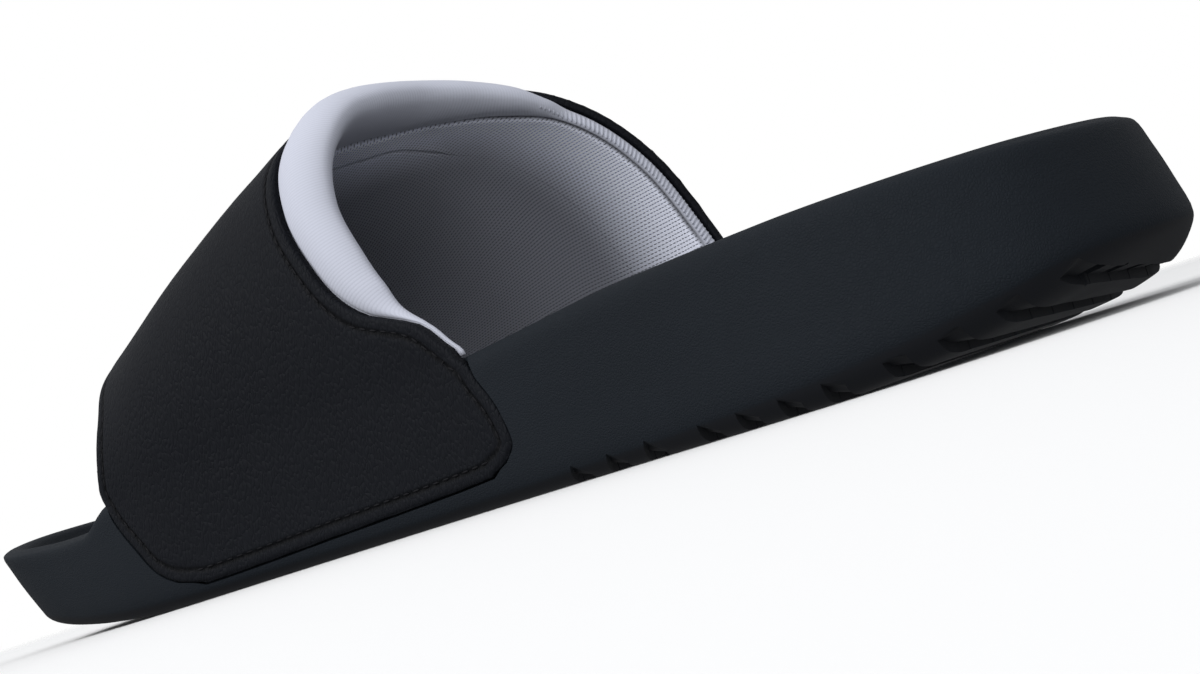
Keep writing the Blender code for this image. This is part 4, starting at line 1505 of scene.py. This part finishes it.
@dataclass
class StrapShell:
    """Outer strap: grained shell with a turned edge and a sewn line all round it."""

    form: SandalForm
    edge_radius: float = 0.9
    seam_inset: float = 2.5
    seam_depth: float = 0.32
    seam_reach: float = 0.42
    edge_steps: tuple[float, ...] = (
        0.0, 0.1, 0.25, 0.45, 0.7, 1.0, 1.4, 1.75, 2.0, 2.2, 2.4, 2.6, 2.8, 3.0, 3.3, 3.8, 4.8, 6.4,
    )
    end_steps: tuple[float, ...] = (8.2, 10.0, 12.0, 14.0, 16.0, 18.0)
    end_length: float = 20.5
    middle_columns: int = 30
    over_foot: int = 110

    def stations(self) -> np.ndarray:
        """Stations from one bottom edge over the foot to the other.

        Returns:
            The stations, close together at the edges.
        """
        steps = np.array([*self.edge_steps, *self.end_steps]) / self.end_length
        return np.r_[-1 + steps, self.form.even_stations(30.0, self.over_foot), 2 - steps[::-1]]

    def grid(self) -> tuple[np.ndarray, np.ndarray]:
        """Stations and places along the foot of every point of the grid.

        Returns:
            Two arrays of rows by columns.
        """
        form = self.form
        station = self.stations()
        rear, front = form.rear_edge(station), form.front_edge(station)
        low_slant = form.edge_slant(station, form.rear_edge)
        high_slant = form.edge_slant(station, form.front_edge)
        steps = np.array(self.edge_steps)
        low = rear[:, None] + steps * low_slant[:, None]
        high = front[:, None] - steps[::-1] * high_slant[:, None]
        shares = np.linspace(0, 1, self.middle_columns + 2)[1:-1]
        middle = low[:, -1:] + (high[:, :1] - low[:, -1:]) * shares
        y = np.hstack([low, middle, high])
        return np.broadcast_to(station[:, None], y.shape), y

    def boundary(self, count: int = 900) -> np.ndarray:
        """Edge of the shell's outer face.

        Args:
            count: Points of each long edge.

        Returns:
            Points all round it.
        """
        form = self.form
        station = np.linspace(-1, 2, count)
        rear = form.strap_point(station, form.rear_edge(station))
        front = form.strap_point(station, form.front_edge(station))
        ends = []
        for end in (-1.0, 2.0):
            y = np.linspace(float(form.rear_edge(end)), float(form.front_edge(end)), 160)
            ends.append(form.strap_point(end, y))
        return np.vstack([rear, ends[1], front[::-1], ends[0][::-1]])

    def edge_distance(self, points: np.ndarray) -> np.ndarray:
        """Distance of points from the shell's edge.

        Args:
            points: Points of the outer face.

        Returns:
            One distance for each.
        """
        edge = evenly(self.boundary(), 1400, True)
        found = [
            np.sqrt(((block[:, None] - edge[None]) ** 2).sum(axis=2).min(axis=1))
            for block in np.array_split(points, max(1, len(points) // 1500))
        ]
        return np.concatenate(found)

    def body(self) -> bpy.types.Object:
        """Hollow shell with its turned edge and the trough of its seam.

        Returns:
            The shell, with its distance from the edge as an attribute.
        """
        form = self.form
        station, y = self.grid()
        base = form.strap_point(station, y).reshape(-1, 3)
        inward = form.strap_inward(station, y).reshape(-1, 3)
        far = self.edge_distance(base)
        radius = self.edge_radius
        turned = radius - np.sqrt(np.maximum(radius**2 - np.clip(radius - far, 0, radius) ** 2, 0))
        trough = self.seam_depth * np.exp(-(((far - self.seam_inset) / self.seam_reach) ** 2))
        drop = turned + trough
        outer = base + inward * drop[:, None]
        inner = base + inward * SHELL_WALL
        obj = closed_pair(Piece.SHELL.value[0], outer, inner, *station.shape)
        set_attribute(obj, "edge_mm", np.r_[far, np.full(len(far), 9.0)])
        return obj

    def seam_row(self) -> tuple[np.ndarray, np.ndarray]:
        """Sewn line round the shell.

        Returns:
            Its closed path and its direction at each point.
        """
        form = self.form
        short = self.seam_inset / self.end_length
        station = np.linspace(-1 + short, 2 - short, 700)
        rear = form.rear_edge(station) + self.seam_inset * form.edge_slant(station, form.rear_edge)
        front = form.front_edge(station) - self.seam_inset * form.edge_slant(station, form.front_edge)
        share = np.linspace(0, 1, 120)[1:-1]
        stations = np.r_[station, np.full(118, station[-1]), station[::-1], np.full(118, station[0])]
        last = rear[-1] + (front[-1] - rear[-1]) * share
        first = front[0] + (rear[0] - front[0]) * share
        y = np.r_[rear, last, front[::-1], first]
        path = form.strap_point(stations, y) + form.strap_inward(stations, y) * (self.seam_depth * 0.75)
        path = evenly(path, 1400, True)
        return path, unit(np.roll(path, -2, axis=0) - np.roll(path, 2, axis=0))


@dataclass
class StrapPadding:
    """Padded lining of the strap with its rolled rear collar and its front collar."""

    form: SandalForm
    columns: int = 10
    over_foot: int = 190
    steps: int = 4
    crease_inset: float = 4.0
    crease_width: float = 1.15
    seam_inset: float = 12.7
    seam_drop: float = 11.5
    inner_steps: tuple[tuple[float, float], ...] = (
        (7.0, 0.2), (5.4, 0.35), (4.0, 0.5), (2.8, 0.6), (1.9, 0.7), (1.0, 0.75),
    )

    def section_points(self, station: np.ndarray) -> np.ndarray:
        """Section of the lining, from its rear round its front and back along the foot.

        Args:
            station: Stations of the sections.

        Returns:
            Points by stations by (y, depth below the shell's face).
        """
        form = self.form
        rear, front = form.rear_edge(station), form.front_edge(station)
        length, swell = form.roll_length(station), form.roll_swell(station)
        front_length, tuck = form.front_roll_length(station), form.roll_tuck(station)
        behind = rear - 0.1 + tuck
        ahead = front + EDGE_GAP * form.edge_slant(station, form.front_edge)
        face = SHELL_WALL + GAP
        back = face + form.lining_wall(station)
        lift = face - 3.4 * swell
        deep = back + 0.9 * swell
        middle = (lift + deep) / 2
        half = deep - middle
        level = np.ones_like(station)
        last = self.columns - 1
        rows = [(rear + (front - rear) * k / last, face) for k in range(1, last)]
        rows += [
            (ahead, face),
            (ahead + 0.25 * front_length, face - 1.3),
            (ahead + 0.8 * front_length, face - 0.4),
            (ahead + front_length, (face + back) / 2 - 0.3),
            (ahead + 0.8 * front_length, back - 0.8),
            (front - 1.0, back),
        ]
        rows += [(rear + (front - rear) * k / last, back) for k in range(last - 1, 1, -1)]
        rows += [(rear + tuck + inset, back + rise * swell) for inset, rise in self.inner_steps]
        rows += [
            (behind - 0.3 * length, deep),
            (behind - 0.7 * length, middle + 0.78 * half),
            (behind - 0.95 * length, middle + 0.36 * half),
            (behind - length, middle - 0.15 * half),
            (behind - 0.84 * length, middle - 0.7 * half),
            (behind - 0.5 * length, lift),
            (behind - 0.12 * length, face - 1.9 * swell),
            (behind, face * level),
        ]
        return np.array([np.stack([y, depth * level], axis=-1) for y, depth in rows])

    def body(self) -> bpy.types.Object:
        """Padded lining with the deep crease inside its roll.

        Returns:
            The lining, with its open knit, the painted shade of its crease and its seam as attributes.
        """
        form = self.form
        station = form.even_stations(10.0, self.over_foot)
        section = spline_through(self.section_points(station), True, self.steps)
        y, depth = section[..., 0].T, section[..., 1].T
        place = np.broadcast_to(station[:, None], y.shape)
        inset = y - (form.rear_edge(station) + form.roll_tuck(station))[:, None]
        swell = form.roll_swell(station)[:, None]
        inner_side = np.arange(y.shape[1]) >= (self.columns + 4) * self.steps
        held = smooth_step(place, 0.03, 0.09) * (1 - smooth_step(place, 0.93, 0.99))
        strip = smooth_step(place, 0.66, 0.73)
        past = (inset - self.crease_inset + 3.0 * strip) / (self.crease_width - 0.45 * strip)
        depth = depth - (0.6 + 1.2 * swell) * np.exp(-(past**2)) * inner_side * held
        points = form.strap_point(place, y) + form.strap_inward(place, y) * depth[..., None]
        for end in (0, -1):
            points[end, :, 2] = form.rim_height(points[end, :, 1]) + form.lip_gap
        rows, columns = y.shape
        faces = grid_quads(rows, columns, closed=True).tolist()
        faces += self.end_faces(0, columns) + self.end_faces((rows - 1) * columns, columns)
        obj = new_mesh_object(Piece.LINING.value[0], points.reshape(-1, 3), faces)
        from_front = form.front_edge(station)[:, None] - y
        zone = inner_side * smooth_step(inset + 3.0 * strip, 3.6, 4.3) * smooth_step(from_front, 3.0, 3.8)
        drop = self.seam_drop * (smooth_step(place, 0.55, 0.68) + 1 - smooth_step(place, 0.2, 0.36))
        fade = 1 + 6 * smooth_step(place, 0.64, 0.70)
        set_attribute(obj, "mesh_zone", zone)
        # Distance inside the rear edge, which the knit also reads for its painted light and shade by depth.
        set_attribute(obj, "inset_mm", inset)
        set_attribute(obj, "seam_mm", (inset - self.seam_inset - drop) * fade)
        # Painted shade along the crease inside the roll, held off near the strap's ends.
        set_attribute(obj, "painted_crease_shade", inner_side * held * np.exp(-((past - 0.15) ** 2) * 1.5))
        self.lay_cloth(obj, distances_along(form.strap_point(station, 10.0)), section)
        return obj

    def rib_row(self) -> tuple[np.ndarray, np.ndarray]:
        """Row of gathered ribs on the outer end of the collar.

        Returns:
            Its open path and the ribs' slant at each point.
        """
        form = self.form
        station = np.linspace(0.684, 0.985, 240)
        y = form.rear_edge(station) + form.roll_tuck(station) - 0.1 - 0.72 * form.roll_length(station)
        depth = SHELL_WALL + GAP + 0.56 * form.lining_wall(station)
        inward = form.strap_inward(station, y)
        path = form.strap_point(station, y) + inward * depth[:, None]
        return path, unit(inward + 0.5 * unit(np.gradient(path, axis=0)))

    def end_faces(self, first: int, columns: int) -> list[tuple[int, ...]]:
        """Closes one end with faces from the lining's outer to its inner side.

        Args:
            first: Number of the end's first point.
            columns: Points round the end.

        Returns:
            The faces.
        """
        faces = []
        a = (self.columns + 1) * self.steps
        b = a + 1
        while (b - a) % columns < columns - 1:
            lower, upper = (a - 1) % columns, (b + 1) % columns
            if lower == upper or a % columns == upper:
                break
            faces.append((first + a % columns, first + b % columns, first + upper, first + lower))
            a, b = lower, upper
            if (a - b) % columns <= 1:
                break
        return faces

    def lay_cloth(self, obj: bpy.types.Object, arc: np.ndarray, section: np.ndarray) -> None:
        """Lays the cloth's threads on the piece as a UV map, one unit for each millimetre.

        Args:
            obj: The lining.
            arc: Distance of each section from the first, over the foot.
            section: The sections' points, round the lining by stations by 2.
        """
        columns = len(section)
        closed = np.concatenate([section, section[:1]], axis=0)
        run = np.linalg.norm(np.diff(closed, axis=0), axis=2).mean(axis=1)
        along = np.r_[0, np.cumsum(run)]
        layer = obj.data.uv_layers.new(name="cloth")
        loops = np.empty(len(obj.data.loops), np.int32)
        obj.data.loops.foreach_get("vertex_index", loops)
        column = loops % columns
        row = loops // columns
        starts = np.empty(len(obj.data.polygons), np.int32)
        totals = np.empty(len(obj.data.polygons), np.int32)
        obj.data.polygons.foreach_get("loop_start", starts)
        obj.data.polygons.foreach_get("loop_total", totals)
        owner = np.repeat(np.arange(len(starts)), totals)
        widest = np.zeros(len(starts), np.int32)
        np.maximum.at(widest, owner, column)
        wrapped = (widest[owner] == columns - 1) & (column == 0)
        v = np.where(wrapped, along[columns], along[column])
        uv = np.stack([arc[row], v], axis=1)
        layer.data.foreach_set("uv", uv.astype(np.float32).ravel())


@dataclass
class Stage:
    """Plain pale floor, soft light and the camera at the photo's angle, stopped at the floor."""

    camera_place: tuple[float, float, float] = (-248.2, -268.2, 6.0)
    camera_turn: tuple[float, float, float] = (0.807, 0.052, -0.319)
    lens: float = 55.5
    floor_reach: float = 6.0
    floor_sides: int = 96

    def clear(self) -> None:
        """Removes what Blender starts with."""
        for obj in list(bpy.data.objects):
            bpy.data.objects.remove(obj)

    def camera(self) -> None:
        """Camera on the photo's side of the shoe."""
        data = bpy.data.cameras.new("photo_camera")
        data.lens = self.lens
        data.sensor_width = 36.0
        data.clip_start, data.clip_end = 0.01, 60.0
        obj = bpy.data.objects.new("photo_camera", data)
        bpy.context.scene.collection.objects.link(obj)
        place = (Vector(self.camera_place) - Vector((*ORIGIN_SHIFT, 0.0))) * MM
        yaw, pitch, roll = self.camera_turn
        level = math.cos(pitch)
        forward = Vector((math.sin(yaw) * level, math.cos(yaw) * level, math.sin(pitch)))
        turn = forward.to_track_quat("-Z", "Y").to_matrix().to_4x4() @ Matrix.Rotation(roll, 4, "Z")
        obj.matrix_world = Matrix.Translation(place) @ turn
        bpy.context.scene.camera = obj

    def floor(self) -> None:
        """Wide pale floor that only shows from above."""
        mesh = bpy.data.meshes.new("floor")
        turns = [2 * math.pi * k / self.floor_sides for k in range(self.floor_sides)]
        ring = [(self.floor_reach * math.cos(turn), self.floor_reach * math.sin(turn), 0.0) for turn in turns]
        mesh.from_pydata(ring, [], [tuple(range(self.floor_sides))])
        obj = bpy.data.objects.new("floor", mesh)
        bpy.context.scene.collection.objects.link(obj)
        material = bpy.data.materials.new("floor_paper")
        material.use_nodes = True
        tree = material.node_tree
        shader = tree.nodes["Principled BSDF"]
        shader.inputs["Base Color"].default_value = (0.92, 0.92, 0.92, 1.0)
        shader.inputs["Roughness"].default_value = 1.0
        shader.inputs["Specular IOR Level"].default_value = 0.0
        link = Link(tree)
        clear = link.node("ShaderNodeBsdfTransparent").outputs[0]
        below = link.node("ShaderNodeNewGeometry").outputs["Backfacing"]
        seen = link.node("ShaderNodeLightPath").outputs["Is Camera Ray"]
        place = link.node("ShaderNodeTexCoord").outputs["Object"]
        far = link.node("ShaderNodeVectorMath", {0: place}, operation="LENGTH").outputs["Value"]
        faded = link.eased(far, 0.25, 0.6, 0.0, 1.0)
        hidden = link.maths("MAXIMUM", below, link.maths("SUBTRACT", 1.0, seen))
        hidden = link.maths("MAXIMUM", hidden, faded)
        mix = link.node("ShaderNodeMixShader", {0: hidden, 1: shader.outputs[0], 2: clear}).outputs[0]
        tree.links.new(mix, tree.nodes["Material Output"].inputs["Surface"])
        mesh.materials.append(material)

    def light(self) -> None:
        """Even white surroundings and two large soft lights."""
        bpy.context.scene.view_settings.view_transform = "Standard"
        world = bpy.data.worlds.new("pale_room")
        bpy.context.scene.world = world
        world.use_nodes = True
        tree = world.node_tree
        link = Link(tree)
        room = tree.nodes["Background"]
        way = link.node("ShaderNodeTexCoord").outputs["Generated"]
        up = link.node("ShaderNodeSeparateXYZ", {0: way}).outputs[2]
        inputs = {"Value": up, "From Min": -0.25, "From Max": 0.35, "To Min": 0.29, "To Max": 0.60}
        strength = link.node("ShaderNodeMapRange", inputs).outputs[0]
        tree.links.new(strength, room.inputs["Strength"])
        room.inputs["Color"].default_value = (0.97, 0.98, 1.0, 1.0)
        white = link.node("ShaderNodeBackground", {"Color": (1.0, 1.0, 1.0, 1.0), "Strength": 1.0}).outputs[0]
        seen = link.node("ShaderNodeLightPath").outputs["Is Camera Ray"]
        mix = link.node("ShaderNodeMixShader", {0: seen, 1: room.outputs[0], 2: white}).outputs[0]
        tree.links.new(mix, tree.nodes["World Output"].inputs["Surface"])
        for name, place, size, power in (
            ("key_light", (-1.0, 0.3, 1.0), 0.9, 12.5),
            ("opening_light", (-0.95, -0.8, 0.2), 0.7, 3.4),
        ):
            data = bpy.data.lights.new(name, "AREA")
            data.size = size
            data.energy = power
            obj = bpy.data.objects.new(name, data)
            bpy.context.scene.collection.objects.link(obj)
            obj.location = place
            obj.rotation_mode = "QUATERNION"
            obj.rotation_quaternion = (-Vector(place)).to_track_quat("-Z", "Y")


def main() -> None:
    """Builds the pieces over the frame, dresses them and sets the stage."""
    stage = Stage()
    stage.clear()
    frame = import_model()
    LOG.info("frame nodes: %s", ", ".join(sorted(frame["nodes"])))
    form = SandalForm()
    grain = FineGrain()
    # The foam's tread tint is painted light for the under side, not a second foam colour.
    foam = GrainedFinish(
        "sole_foam", (0.0090, 0.0122, 0.0168), 0.70, 0.13, cells_per_metre=1900.0, bump_metres=0.00006,
        cloud=0.2, zone="tread_zone", painted_underside_tint=(0.0100, 0.0112, 0.0142),
    )
    leather = GrainedFinish(
        "strap_leather", (0.0058, 0.0068, 0.0096), 0.62, 0.09, cells_per_metre=1250.0, bump_metres=0.00012,
        cloud=0.12, stretch=(0.55, 1.1, 0.42), seam="edge_mm",
    )
    knit = KnitFinish("lining_knit", (0.57, 0.59, 0.68), 0.9, 0.1, 0.1)
    thread = Finish("sewing_thread", (0.006, 0.006, 0.008), 0.7, 0.15)
    gathers = Finish("gathered_cloth", (0.50, 0.52, 0.60), 0.9, 0.1, 0.1)
    sole = MouldedSole(form)
    body = sole.body()
    skin = UnderSide(form, MouldedSole(form, outline_points=1440).rings())
    cutters = [sole.recess_cutter(side) for side in (-1, 1)] + TreadCarver(skin).cutters()
    carve(body, cutters)
    sole.mark_tread(body)
    dress(body, foam.build(grain), *Piece.SOLE.value[1:])
    beads = BeadRow()
    strap = StrapShell(form)
    dress(strap.body(), leather.build(grain), *Piece.SHELL.value[1:])
    path, aim = strap.seam_row()
    sewn = thread.plain()
    stitches = beads.lay("strap_stitches", path, aim, True, 2.6, (1.8, 0.46, 0.42), sewn)
    dress(stitches, sewn, Piece.SHELL.value[1])
    padding = StrapPadding(form)
    lining = padding.body()
    dress(lining, knit.build(KnitCloth()), *Piece.LINING.value[1:])
    path, aim = padding.rib_row()
    gathered = gathers.plain()
    ribs = beads.lay("collar_ribs", path, aim, False, 1.0, (2.7, 0.84, 0.84), gathered)
    dress(ribs, gathered, Piece.LINING.value[1])
    stage.floor()
    stage.light()
    stage.camera()


if __name__ == "__main__":
    main()
